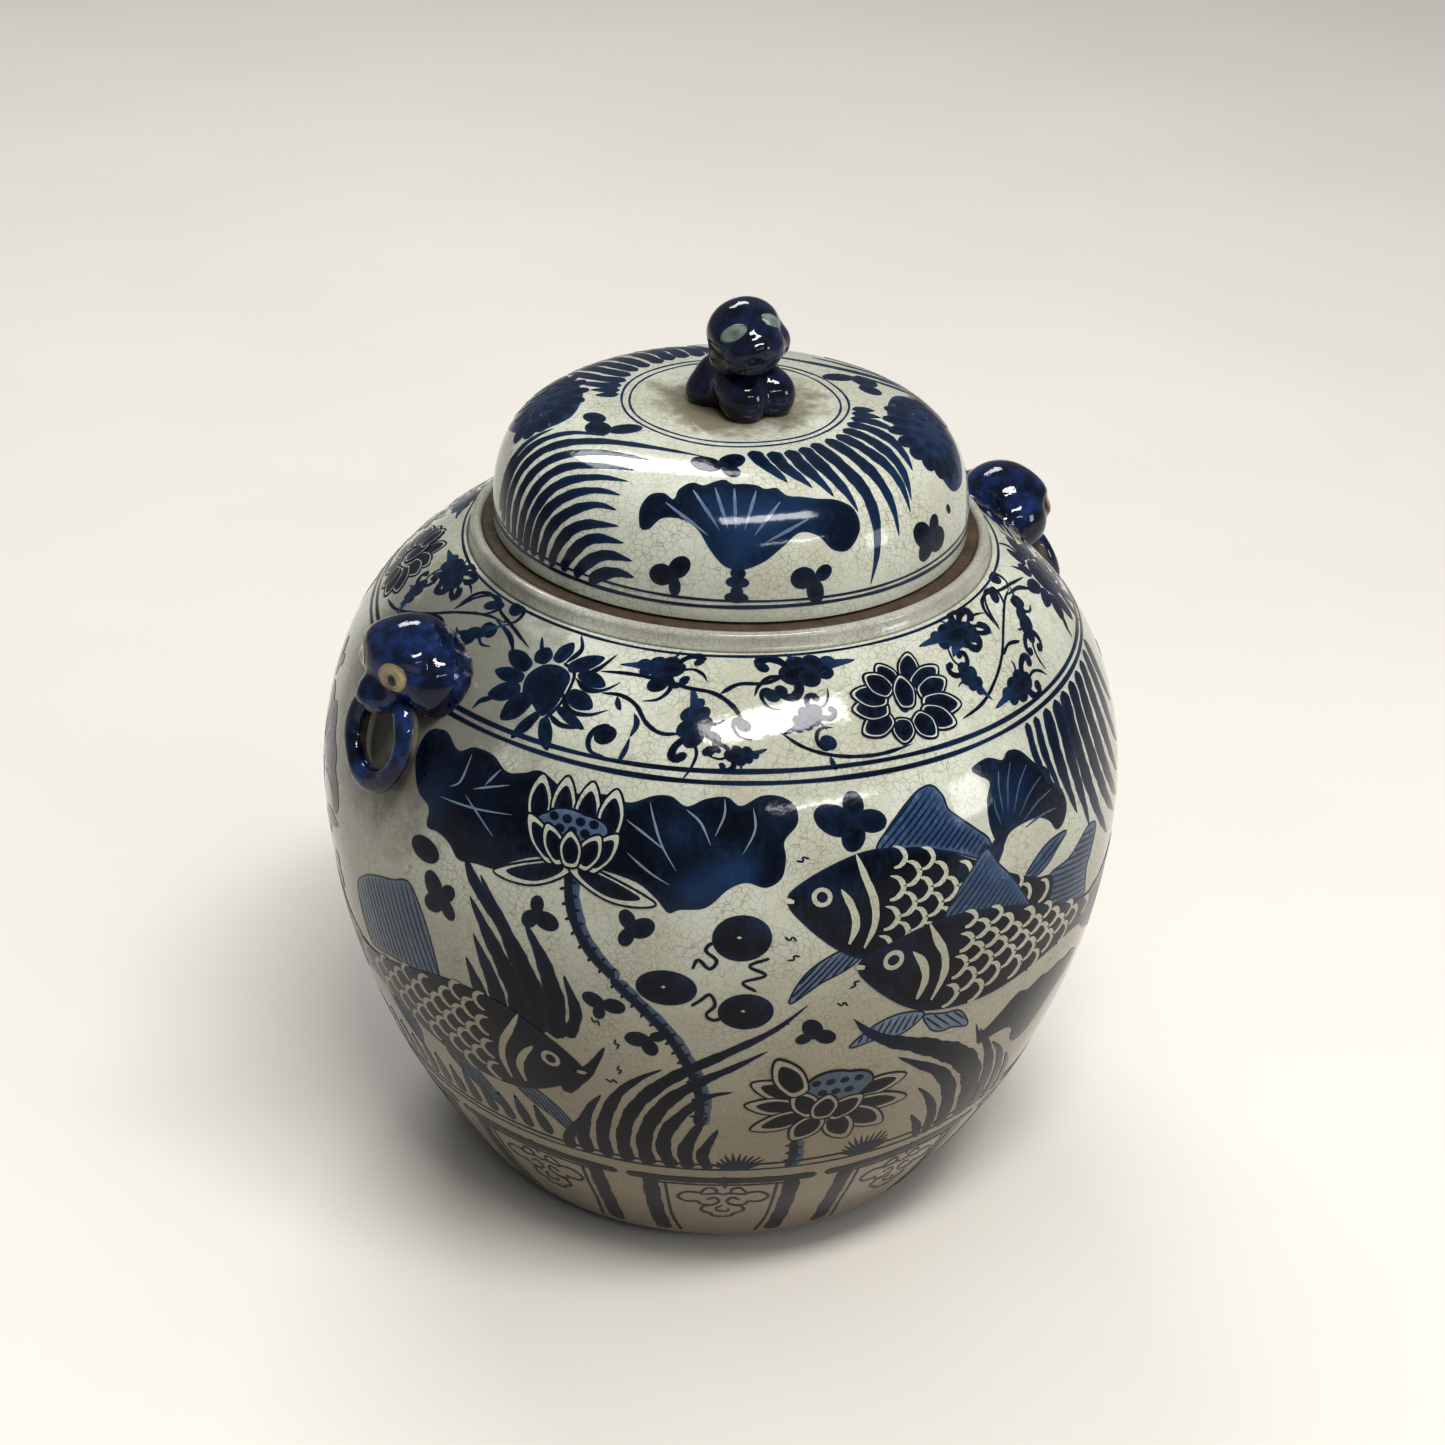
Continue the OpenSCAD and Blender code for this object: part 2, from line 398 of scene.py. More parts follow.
def add_piece(name, points, faces, body, materials, normals=None, face_material=None,
              replaces=(), attributes=None):
    """Makes a mesh piece from points in millimetres and hangs it on a body."""
    mesh = bpy.data.meshes.new(name)
    mesh.from_pydata(np.asarray(points) * MM, [], faces)
    mesh.polygons.foreach_set("use_smooth", np.ones(len(mesh.polygons), bool))
    for material in materials:
        mesh.materials.append(material)
    if face_material is not None:
        mesh.polygons.foreach_set("material_index", np.asarray(face_material, np.int32))
    for key, values in (attributes or {}).items():
        layer = mesh.attributes.new(key, "FLOAT", "POINT")
        layer.data.foreach_set("value", np.asarray(values, np.float32))
    mesh.update()
    if normals is not None:
        mesh.normals_split_custom_set_from_vertices(np.asarray(normals, float))
    piece = bpy.data.objects.new(name, mesh)
    bpy.context.scene.collection.objects.link(piece)
    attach(piece, body)
    if replaces:
        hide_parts(*replaces)
    return piece


def revolve(name, loop, kinds, body, materials, replaces=(), surface=None, painted=None):
    """Turns a closed loop of (r, z) points round the axis; kinds gives each span's material.
    The points flagged in painted take the wobble and the normals of the painted surface."""
    loop = np.asarray(loop, float)
    count = len(loop)
    push = np.zeros(count) if surface is None else surface.wobble * np.asarray(painted, float)
    s = np.zeros(count) if surface is None else surface.nearest(loop)
    grid, normals = np.zeros((2, TURNS, count, 3))
    on_skin = np.zeros(count, bool) if surface is None else np.array(painted)
    for i in range(TURNS):
        azimuth = 2 * math.pi * i / TURNS
        r = loop[:, 0] + push * throwing_wobble(azimuth, s) * np.clip(loop[:, 0] / 40, 0, 1)
        angle = azimuth + FRONT
        grid[i] = np.stack([r * math.sin(angle), -r * math.cos(angle), loop[:, 1]], axis=1)
        if on_skin.any():
            normals[i, on_skin] = surface.at(azimuth, s[on_skin])[1]
    faces, face_material = [], []
    for i in range(TURNS):
        j = (i + 1) % TURNS
        for k in range(count):
            n = (k + 1) % count
            faces.append((i * count + k, j * count + k, j * count + n, i * count + n))
            face_material.append(kinds[k])
    return add_piece(name, grid.reshape(-1, 3), faces, body, materials,
                     normals.reshape(-1, 3) if on_skin.any() else None, face_material, replaces)


# ---------------------------------------------------------------- shells

def arc(x, z, r, start, end, steps=8):
    """Points along an arc, from one angle in degrees to another."""
    turn = np.radians(np.linspace(start, end, steps + 1))
    return np.stack([x + r * np.cos(turn), z + r * np.sin(turn)], axis=1)


NEAR_AXIS = 0.05    # closed ends stop this far from the axis, where their facets would fold up
GLAZED, RAW, INSIDE = 0, 1, 2


def shell(name, spans, body, replaces, surface):
    """A turned shell from (points, kind) spans; the glazed span is the painted surface."""
    loop = np.concatenate([np.asarray(points, float) for points, kind in spans])
    loop[:, 0] = np.maximum(loop[:, 0], NEAR_AXIS)
    kinds = [kind for points, kind in spans for _ in points]
    painted = [kind == GLAZED for kind in kinds]
    revolve(name, loop, kinds, body, [GLAZE, BARE, INNER], replaces, surface, painted)


def build_wall():
    """The two thrown halves, luted at the belly."""
    heel_r, heel_angle = 5.0, 31.0
    flank_z = FOOT_TOP + heel_r * (1 - math.sin(math.radians(heel_angle)))
    heel_x = float(jar_radius(flank_z)) - heel_r * math.cos(math.radians(heel_angle))
    floor_z = FOOT_TOP + FLOOR
    neck_inside_z = COLLAR_Z - 9
    shell("wall_lower", [
        ([(0, FOOT_TOP)], RAW),
        (arc(heel_x, FOOT_TOP + heel_r, heel_r, -90, -heel_angle - 4), RAW),
        (jar_profile(flank_z, BELLY_Z), GLAZED),
        (jar_profile(BELLY_Z, floor_z, WALL), INSIDE),
        ([(0, floor_z)], INSIDE)], "jar", ["lower_body"], JAR)
    shell("wall_upper", [
        (jar_profile(BELLY_Z, COLLAR_Z), GLAZED),
        ([(MOUTH_R, COLLAR_Z)], RAW),
        (jar_profile(neck_inside_z, BELLY_Z, WALL), INSIDE)], "jar", ["upper_body"], JAR)


def build_mouth():
    """A bare ledge for the lid, inside a rounded glazed bead."""
    edge = 1.2
    ledge = [(MOUTH_R, COLLAR_Z), (LEDGE_OUT_R, COLLAR_Z), (LEDGE_OUT_R, LEDGE_Z - 0.6),
             (LEDGE_OUT_R - 0.8, LEDGE_Z)]
    ledge += list(arc(MOUTH_R + edge, LEDGE_Z - edge, edge, 90, 180, 4))
    revolve("mouth_ledge", ledge, [0] * len(ledge), "jar", [BARE], ["mouth_collar"])
    half = (BEAD_R - LEDGE_OUT_R) / 2
    bead = [(LEDGE_OUT_R, COLLAR_Z), (BEAD_R + 1.6, COLLAR_Z), (BEAD_R + 0.5, COLLAR_Z + 0.7)]
    bead += list(arc(LEDGE_OUT_R + half, LEDGE_Z + 0.4 - half, half, 0, 180, 12))
    revolve("mouth_bead", bead, [0] * len(bead), "jar", [RIM])


def build_lid():
    """The lid's shell: glazed outside, bare at the rim and on the shelf, dull glaze inside."""
    shelf_r, shelf_t, rim = FLANGE_R - 5, 5.0, 2.0
    rim_arc = arc(LID_R - rim, LID_Z + rim, rim, -90, 0)
    shell("lid_shell", [
        ([(shelf_r, LID_Z)], RAW),
        (rim_arc[:5], RAW),
        (rim_arc[5:], GLAZED),
        (lid_profile(), GLAZED),
        (lid_profile(LID_WALL)[::-1], INSIDE),
        ([(LID_R - LID_WALL, LID_Z + shelf_t), (shelf_r, LID_Z + shelf_t)], RAW)],
        "lid", ["lid_dome"], LID)


# ---------------------------------------------------------------- brushwork kit

def spline(points, step=1.2, closed=False):
    """A Catmull-Rom curve through the points, sampled at an even step in millimetres."""
    p = np.asarray(points, float)
    ends = (p[-1:], p[:2]) if closed else (2 * p[:1] - p[1:2], 2 * p[-1:] - p[-2:-1])
    q = np.concatenate([ends[0], p, ends[1]])
    t = np.linspace(0, 1, 16, endpoint=False)[:, None]
    runs = []
    for a, b, c, d in zip(q[:-3], q[1:-2], q[2:-1], q[3:]):
        runs.append(0.5 * (2 * b + (c - a) * t + (2 * a - 5 * b + 4 * c - d) * t ** 2
                           + (3 * b - a - 3 * c + d) * t ** 3))
    dense = np.concatenate(runs + [q[1:2] if closed else q[-2:-1]])
    length = np.concatenate([[0], np.cumsum(np.hypot(*np.diff(dense, axis=0).T))])
    count = max(int(length[-1] / step), 3)
    at = np.linspace(0, length[-1], count + 1)
    if closed:
        at = at[:-1]
    return np.stack([np.interp(at, length, dense[:, 0]), np.interp(at, length, dense[:, 1])], axis=1)


def ellipse(x, y, rx, ry, turn=0.0, points=10):
    """Points round an ellipse, which is turned in degrees."""
    a = np.linspace(0, 2 * math.pi, points, endpoint=False)
    c, s = math.cos(math.radians(turn)), math.sin(math.radians(turn))
    u, v = rx * np.cos(a), ry * np.sin(a)
    return np.stack([x + u * c - v * s, y + u * s + v * c], axis=1)


def placed(points, x=0.0, y=0.0, turn=0.0, size=1.0, flip=False):
    """Points scaled, mirrored left to right, turned in degrees and moved."""
    p = np.atleast_2d(np.asarray(points, float)) * size
    if flip:
        p = p * [-1, 1]
    c, s = math.cos(math.radians(turn)), math.sin(math.radians(turn))
    return np.stack([x + p[:, 0] * c - p[:, 1] * s, y + p[:, 0] * s + p[:, 1] * c], axis=1)


class Patch:
    """Drawing in mm on the jar: u round it and v up its wall, from a point at azimuth and z."""

    def __init__(self, azimuth, z):
        self.azimuth, self.s = math.radians(azimuth), JAR.height(z)

    def __call__(self, points):
        s = self.s + points[:, 1]
        return self.azimuth + points[:, 0] / JAR.radius(s), s


class Plan:
    """Drawing in mm on the lid, as it would unroll from its middle; -y is its front."""

    def __init__(self, azimuth):
        self.azimuth = math.radians(azimuth)

    def __call__(self, points):
        reach = np.hypot(points[:, 0], points[:, 1])
        return self.azimuth + np.arctan2(points[:, 0], -points[:, 1]), LID.s[-1] - reach


class Ink:
    """One piece of brushwork: thin closed inlays that follow a turned surface."""

    SINK = 0.3          # how far each inlay reaches down into the glaze
    LAYER = 0.006       # extra height of each mark over the last, so that none coincide

    def __init__(self, name, surface, body, slot, material, lift):
        self.name, self.surface, self.body, self.slot = name, surface, body, slot
        self.material, self.lift = material, lift
        self.azimuth, self.s, self.raise_, self.thin, self.faces = [], [], [], [], []
        self.count = self.marks = 0

    def lay(self, place, points, faces, thin, over=None):
        azimuth, s = place(points)
        self.azimuth.append(azimuth)
        self.s.append(s)
        self.thin.append(np.broadcast_to(thin, len(points)))
        lift = self.lift + self.LAYER * (self.marks % 9) if over is None else over
        self.raise_.append(np.full(len(points), lift))
        self.faces += [tuple(self.count + i for i in face) for face in faces]
        self.count += len(points)
        self.marks += 1

    def stroke(self, place, points, width, start=0.0, end=0.0, thin=0.0, tip_thin=0.35, closed=False,
               over=None):
        """A brush stroke. start and end are the shares of its length over which it tapers off."""
        path = spline(points, step=min(1.4, max(0.7, width * 0.6)), closed=closed)
        count = len(path)
        ahead = np.roll(path, -1, axis=0) - np.roll(path, 1, axis=0) if closed else np.gradient(path, axis=0)
        ahead /= np.hypot(*ahead.T)[:, None] + 1e-9
        side = np.stack([-ahead[:, 1], ahead[:, 0]], axis=1)
        t = np.linspace(0, 1, count)
        swell = np.ones(count)
        if start:
            swell *= np.clip(t / start, 0, 1) ** 0.62
        if end:
            swell *= np.clip((1 - t) / end, 0, 1) ** 0.62
        run = t * count * 1.3
        swell *= 1 + 0.07 * np.sin(run * 0.45 + self.marks) + 0.04 * np.sin(run * 1.1 + 2.0 * self.marks)
        if not closed:
            tip = np.minimum(t, 1 - t) * count * 1.3
            swell *= np.sqrt(np.clip(1 - (1 - np.clip(tip / (0.5 * width), 0, 1)) ** 2, 0.02, 1))
        across = 2 + 2 * int(width / 5)
        lanes = np.linspace(-0.5, 0.5, across + 1)
        grid = path[:, None] + side[:, None] * (lanes[None, :, None] * width * swell[:, None, None])
        edge = np.where(np.abs(lanes) > 0.49, 0.22, 0.0)
        fade = tip_thin * (np.clip(1 - (1 - t) / max(end, 0.08), 0, 1) if end else np.zeros(count))
        faces = []
        for i in range(count if closed else count - 1):
            j = (i + 1) % count
            for k in range(across):
                a, b = i * (across + 1) + k, j * (across + 1) + k
                faces.append((a, b, b + 1, a + 1))
        shade = np.clip(thin + fade[:, None] + edge[None], 0, 1)
        self.lay(place, grid.reshape(-1, 2), faces, shade.reshape(-1), over)

    def shape(self, place, outline, thin=0.0, spacing=3.0, washes=(), over=None):
        """A filled shape. washes are (x, y, radius, thinness) places where the ink ran thin."""
        rim = spline(outline, step=1.0, closed=True)
        low, high = rim.min(0), rim.max(0)
        xs = np.arange(low[0] + spacing / 2, high[0], spacing)
        ys = np.arange(low[1] + spacing / 2, high[1], spacing)
        grid = np.array([(x + (spacing / 2 if k % 2 else 0), y) for k, y in enumerate(ys) for x in xs])
        inner = grid.reshape(-1, 2)
        if len(inner):
            gap = np.sqrt(((inner[:, None] - rim[None]) ** 2).sum(-1)).min(1)
            inner = inner[(gap > spacing * 0.4) & inside(inner, rim)]
        corners = [Vector(p) for p in np.concatenate([rim, inner])]
        made = delaunay_2d_cdt(corners, [], [list(range(len(rim)))], 1, 1e-6)
        points = np.array([tuple(p) for p in made[0]])
        gap = np.sqrt(((points[:, None] - rim[None]) ** 2).sum(-1)).min(1)
        shade = thin + np.where(gap < 0.3, 0.22, 0.0)
        for x, y, radius, amount in washes:
            away = np.hypot(points[:, 0] - x, points[:, 1] - y) / radius
            shade = shade + amount * np.exp(-away ** 2)
        self.lay(place, points, [tuple(face) for face in made[2]], np.clip(shade, 0, 1), over)

    def finish(self):
        azimuth, s = np.concatenate(self.azimuth), np.concatenate(self.s)
        top, normal = self.surface.at(azimuth, s, np.concatenate(self.raise_))
        bottom, _ = self.surface.at(azimuth, s, -self.SINK)
        faces = [face_out(face, top, normal) for face in self.faces]
        count = len(top)
        edges = {}
        for face in faces:
            for a, b in zip(face, face[1:] + face[:1]):
                edges[(a, b)] = edges.get((a, b), 0) + 1
        sides = [(b, a, a + count, b + count) for a, b in edges if (b, a) not in edges]
        under = [tuple(i + count for i in reversed(face)) for face in faces]
        thin = np.concatenate(self.thin)
        return add_piece(self.name, np.concatenate([top, bottom]), faces + under + sides, self.body,
                         [self.material], normals=np.concatenate([normal, normal]),
                         attributes={"thin": np.concatenate([thin, thin])})


def inside(points, rim):
    """True for the points inside a closed outline."""
    hit = np.zeros(len(points), bool)
    x, y = points[:, 0], points[:, 1]
    for (x0, y0), (x1, y1) in zip(rim, np.roll(rim, -1, axis=0)):
        if y0 != y1:
            crosses = (y0 > y) != (y1 > y)
            hit ^= crosses & (x < (x1 - x0) * (y - y0) / (y1 - y0) + x0)
    return hit


def face_out(face, points, normal):
    """The face, turned over if it looks into the surface."""
    a, b, c = (points[i] for i in face[:3])
    return face if np.dot(np.cross(b - a, c - a), normal[face[0]]) > 0 else tuple(reversed(face))


class Brush:
    """The inks of one region: a wash, a dark line over it, and the lines left in reserve."""

    WASH_LIFT, DARK_LIFT, RESERVE_LIFT = 0.05, 0.12, 0.20
    LAYERS, LAYER_STEP = 14, 0.032          # layers over all of these, used in turn
    LAYER_LOW, LAYER_HIGH = 0.21, 0.228     # the two heights in the lowest of them

    def __init__(self, region, surface, body):
        self.wash = Ink(region + "_wash", surface, body, "underglaze_wash", WASH, self.WASH_LIFT)
        self.dark = Ink(region + "_dark", surface, body, "underglaze_dark", DARK, self.DARK_LIFT)
        self.reserve = Ink(region + "_reserve", surface, body, "crackle_glaze", GLAZE, self.RESERVE_LIFT)
        self.stack = 0

    def next_layer(self):
        """Heights for a mark that covers the last ones, and for the reserve lines on it."""
        self.stack = (self.stack + 1) % self.LAYERS
        rise = self.LAYER_STEP * self.stack
        return self.LAYER_LOW + rise, self.LAYER_HIGH + rise

    def finish(self):
        for ink in (self.wash, self.dark, self.reserve):
            if ink.marks:
                ink.finish()


# ---------------------------------------------------------------- motifs, in mm

def blade(ink, place, points, width, thin=0.0, tip_thin=0.35):
    """A long leaf drawn from its blunt foot to its pointed tip."""
    ink.stroke(place, points, width, end=0.55, thin=thin, tip_thin=tip_thin)


def clover(brush, place, x, y, size=5.5, turn=0.0, lobes=3):
    """Three or four blots that run into each other."""
    for k in range(lobes):
        angle = math.radians(turn + 360 * k / lobes + 14 * math.sin(3.1 * k + y))
        grow = 1 + 0.22 * math.sin(2.3 * k + x)
        cx, cy = x + 0.72 * size * math.cos(angle), y + 0.62 * size * math.sin(angle)
        brush.dark.shape(place, ellipse(cx, cy, 0.7 * size * grow, 0.52 * size * grow,
                                        math.degrees(angle) + 20 * math.sin(k + y), 8), thin=0.08 * (k % 2))
    brush.dark.shape(place, ellipse(x, y, 0.34 * size, 0.3 * size, points=8))


def curl(brush, place, x, y, size=4.5, turn=0.0, flip=False):
    """A comma: a round head with its tail curling away."""
    tail = placed([(-0.1, 1.0), (0.75, 0.75), (1.1, -0.1), (0.7, -1.0), (-0.4, -1.35)],
                  x, y, turn, size, flip)
    brush.dark.shape(place, ellipse(*placed((0, 0.25), x, y, turn, size, flip)[0], 0.8 * size,
                                    0.72 * size, turn))
    brush.dark.stroke(place, tail, 0.42 * size, end=0.6)


def palmette(brush, place, x, y, size=1.0, turn=0.0, flip=False):
    """A vine leaf: round lobes along a tapering tail, with two knobbed hooks at its stalk."""
    def spot(points):
        return placed(points, x, y, turn, size, flip)

    brush.dark.stroke(place, spot([(6, 0), (-4, 0.5), (-14, 0.8), (-24, -0.4)]), 6.5 * size, end=0.75,
                      tip_thin=0.9)
    for u, v, r in ((-13, 2, 2.9), (-9.5, -1.8, 3.2), (-7, 3.4, 3.6), (-2.5, -2.8, 3.9), (-1, 3.8, 4.0),
                    (3.5, 0, 4.4)):
        brush.dark.shape(place, ellipse(*spot((u, v))[0], 1.12 * r * size, r * size, turn, 8),
                         thin=0.25 if u < -12 else 0.04)
    for side, reach in ((1, 1.0), (-1, 0.86)):
        hook = [(2.5, side * 2.5), (5, side * 7), (9.5, side * 9), (13.4, side * 7), (13.2, side * 4.4)]
        hook = spot([(u * reach, v) for u, v in hook])
        brush.dark.stroke(place, hook, 3.5 * size)
        brush.dark.shape(place, ellipse(*(hook[-1] * 0.8 + hook[-3] * 0.2), 2.5 * size, 2.3 * size, points=8))
    brush.dark.stroke(place, spot([(-1, 6), (0.5, 9.5), (0, 12.5)]), 1.5 * size, end=0.5, thin=0.3)
    brush.dark.stroke(place, spot([(6, 0), (12, 0.8), (18, -2), (22, -6)]), 1.4 * size, end=0.3)


def petal_outline(base, tip, width, lean=0.0):
    """A pointed oval from base to tip, bowed to one side by lean; its fifth point is the tip."""
    base, tip = np.array(base, float), np.array(tip, float)
    along = tip - base
    side = np.array([-along[1], along[0]]) / (np.hypot(*along) + 1e-9)
    share = [(0, 0.26), (0.25, 0.46), (0.55, 0.5), (0.84, 0.3)]
    left = [base + along * t + side * (width * w + lean * t * (1 - t)) for t, w in share]
    right = [base + along * t + side * (-width * w + lean * t * (1 - t)) for t, w in reversed(share)]
    return np.array(left + [tip] + right)


def leaflet(brush, place, base, tip, width, lean=0.0, thin=0.05):
    """A plain dark petal."""
    brush.dark.shape(place, petal_outline(base, tip, width, lean), thin=thin)


def petal(brush, place, base, tip, width, lean=0.0, edge=1.6):
    """A petal that covers what is behind it: dark inside a pale edge, with a fine line round it."""
    outline = petal_outline(base, tip, width, lean)
    low, high = brush.next_layer()
    brush.reserve.shape(place, outline, spacing=2.0, over=low)
    brush.dark.stroke(place, outline, 0.8, closed=True, over=high)
    middle = outline[[0, 1, 2, -1, -2, -3]].mean(axis=0)
    middle = (middle + outline[4]) / 2 * 0.35 + middle * 0.65
    inner = middle + (outline - middle) * (1 - 2 * edge / width)
    brush.dark.shape(place, inner, spacing=2.0, over=high)


def dotted_head(brush, place, x, y, width, height):
    """A lotus's seed head: a pale scalloped cup with dark seeds in two rows."""
    half = width / 2
    cup = [(half * 1.02 * math.cos(a) * (1 + 0.1 * abs(math.sin(2.5 * a))),
            height * (0.4 + 0.62 * math.sin(a) * (1 + 0.14 * abs(math.sin(2.5 * a)))))
           for a in np.radians(np.arange(0, 181, 12))]
    cup += [(-half * 0.55, -0.1 * height), (0, -0.25 * height), (half * 0.55, -0.1 * height)]
    outline = [(x + u, y + v) for u, v in cup]
    low, high = brush.next_layer()
    brush.wash.shape(place, outline, thin=0.3, spacing=2.0, over=low)
    brush.dark.stroke(place, outline, 0.9, closed=True, over=high)
    for row, count in ((0.7, 4), (0.3, 3)):
        for k in range(count):
            u = width * 0.72 * ((k + 0.5) / count - 0.5) * (1.12 if row > 0.5 else 0.8)
            brush.dark.shape(place, ellipse(x + u, y + row * height, 1.9, 1.7, points=8), over=high)


def lotus(brush, place):
    """The open lotus low on the right, with its seed head."""
    for base, tip, width in (((-25, 8), (-36, 27), 11), ((-24, 6), (-44, 15), 10),
                             ((-24, 0), (-45, 3), 9.5), ((-20, -4), (-41, -12), 10.5),
                             ((-4, 4), (17, 8), 10), ((-4, -2), (20, -6.5), 9.5),
                             ((-6, -5), (12, -19.5), 11.5), ((-11, -7), (-2, -24), 11.5),
                             ((-16, -7), (-24, -20.5), 12)):
        petal(brush, place, base, tip, width)
    dotted_head(brush, place, -11.5, 3, 27, 14)
    for base, tip, width in (((-18, -5), (-27.5, 9.5), 10), ((-12, -8), (0, 2.5), 11),
                             ((-15, -8), (-14, 6), 10.5)):
        petal(brush, place, base, tip, width, edge=1.4)


def bristly_stem(brush, place, points, width):
    """A stalk with a soft wash along it and stubble down both sides."""
    points = np.asarray(points, float)
    brush.wash.stroke(place, points + [width * 0.3, -width * 0.1], width * 1.1, thin=0.1)
    brush.dark.stroke(place, points, width * 0.66, thin=0.1)
    path = spline(points, step=2.6)
    ahead = np.gradient(path, axis=0)
    ahead /= np.hypot(*ahead.T)[:, None]
    for k, (spot, way) in enumerate(zip(path[1:-1], ahead[1:-1])):
        side = np.array([-way[1], way[0]]) * (1 if k % 2 else -1)
        start = spot + side * width * 0.22
        brush.dark.stroke(place, [start, start + side * width * 0.42 + way * 0.5], 1.1)


def tuft(brush, place, x, y, size=12.0, blades=11):
    """A fan of short grass."""
    for k in range(blades):
        angle = math.radians(90 + 66 * (0.5 - k / (blades - 1)) * 2)
        reach = size * (0.72 + 0.28 * math.cos(math.radians(90) - angle) + 0.08 * math.sin(5 * k))
        foot = (x + 0.12 * size * math.cos(angle), y)
        tip = (x + reach * math.cos(angle), y + reach * math.sin(angle) * 0.95)
        brush.dark.stroke(place, [foot, tip], 1.5, end=0.5, thin=0.22)


def ticks(brush, place, spots):
    """Short flicks that fill the empty ground."""
    for x, y, turn in spots:
        brush.dark.stroke(place, placed([(-2, 1), (0, -0.6), (0.8, 0.8), (2.4, -1.2)], x, y, turn), 0.7)


def hatched(brush, place, outline, way, gap=2.4, thin=0.0, over=None):
    """A wash filled with thin parallel lines that run along way."""
    outline = np.asarray(outline, float)
    low, high = (None, None) if over is None else over
    brush.wash.shape(place, outline, thin=thin, over=low)
    brush.dark.stroke(place, outline, 0.7, closed=True, thin=0.3, over=high)
    rim = spline(outline, step=1.0, closed=True)
    way = np.array(way, float) / math.hypot(*way)
    side = np.array([-way[1], way[0]])
    across, along = rim @ side, rim @ way
    for level in np.arange(across.min() + gap, across.max() - gap * 0.4, gap):
        steps = np.arange(along.min(), along.max(), 0.8)
        line = steps[:, None] * way + level * side
        held = line[inside(line, rim)]
        if len(held) > 5:
            line = [held[1], held[len(held) // 2], held[-2]]
            brush.dark.stroke(place, line, 0.8, end=0.3, thin=0.15, over=high)


FISH_BACK = [(0, 2), (6, 9), (15, 16), (24, 21), (32, 23.2), (44, 24), (57, 22.8), (70, 19.5), (82, 15.5),
             (95, 11.5), (107, 9), (117, 7.5)]
FISH_BELLY = [(117, -5), (103, -5), (88, -8), (75, -12), (60, -16.5), (45, -19), (31, -19), (22, -16.5),
              (14, -12.5), (7, -8), (1, -3)]
FISH_FIN = [(30, 22), (34, 31), (43, 42.5), (50, 46.5), (55, 43), (57.5, 38), (63, 34.5), (70, 30.5),
            (77, 26), (78, 19), (60, 22.5), (44, 24)]
FISH_TAIL = [(114, 8), (128, 13), (142, 22), (151, 21), (149, 12), (147, 4), (151, -6), (154, -15),
             (146, -19), (130, -14), (114, -6)]
FISH_UNDER_FINS = (((24, -16), (15, -24), (11, -33), (11, -41), (19, -31), (27, -24), (31, -18)),
                   ((52, -18), (44, -27), (42, -37), (54, -29), (64, -17)),
                   ((84, -9), (80, -18), (84, -26), (93, -17), (98, -6)))
FISH_GILLS = (((19.5, 20.5), (24, 12), (28.5, 4), (30.5, -5), (28.5, -16)),
              ((15.5, 7), (20.5, 1), (23.5, -6), (22.5, -15)))
SCALE_EDGE = [(-0.6, 4.6), (3.2, 3.9), (5.6, 0.4), (3.4, -3.4), (-0.4, -4.6)]
SCALE_SPACING, SCALE_ROW = 11.2, 5.7


def fish(brush, place, x, y, size=1.0, turn=0.0, flip=False, dorsal=True, fins=3, girth=1.0):
    """A carp with its nose at (x, y), facing left unless flipped, over what is drawn already.
    girth scales its back's height, and fins counts those under it."""
    def spot(points):
        points = np.array(points, float).reshape(-1, 2)
        points[:, 1] *= np.where(points[:, 1] > 0, girth, 1)
        return placed(points, x, y, turn, size, flip)

    def way(u, v):
        return spot((u, v))[0] - spot((0, 0))[0]

    hatched(brush, place, spot(FISH_TAIL), way(1, 0), thin=0.1)
    if dorsal:
        hatched(brush, place, spot(FISH_FIN), way(0.62, 0.78), gap=2.2)
    for fin in FISH_UNDER_FINS[:fins]:
        hatched(brush, place, spot(fin), way(0.45, 0.9), gap=1.9, thin=0.35)
    low, high = brush.next_layer()
    brush.dark.shape(place, spot(FISH_BACK + FISH_BELLY), washes=[(*spot((14, 5))[0], 7, 0.25)], over=low)
    for gill in FISH_GILLS:
        brush.reserve.stroke(place, spot(placed(gill, 2.5, 0)), 2.9 * size, start=0.25, end=0.35,
                             over=high)
    eye = spot((11.8, 3))[0]
    brush.reserve.stroke(place, ellipse(*eye, 2.9 * size, 2.9 * size), 1.7 * size, closed=True, over=high)
    brush.reserve.stroke(place, spot([(-1.5, -0.3), (3.6, -0.5)]), 2.0, end=0.5, over=high)
    outline = spline(np.array(FISH_BACK + FISH_BELLY), step=2.0, closed=True)
    for row in range(9):
        for column in range(9):
            u = 36 + SCALE_SPACING * (column + (0.5 if row % 2 else 0))
            v = 20.2 - SCALE_ROW * row
            near = np.hypot(outline[:, 0] - u, outline[:, 1] - v).min()
            if near > 3 and u < 112 and inside(np.array([[u, v]]), outline)[0]:
                grow = min(1.0, 0.55 + near / 11)
                edge = [(u + grow * a, v + grow * b) for a, b in SCALE_EDGE]
                brush.reserve.stroke(place, spot(edge), 2.1 * grow * size, start=0.3, end=0.3, over=high)


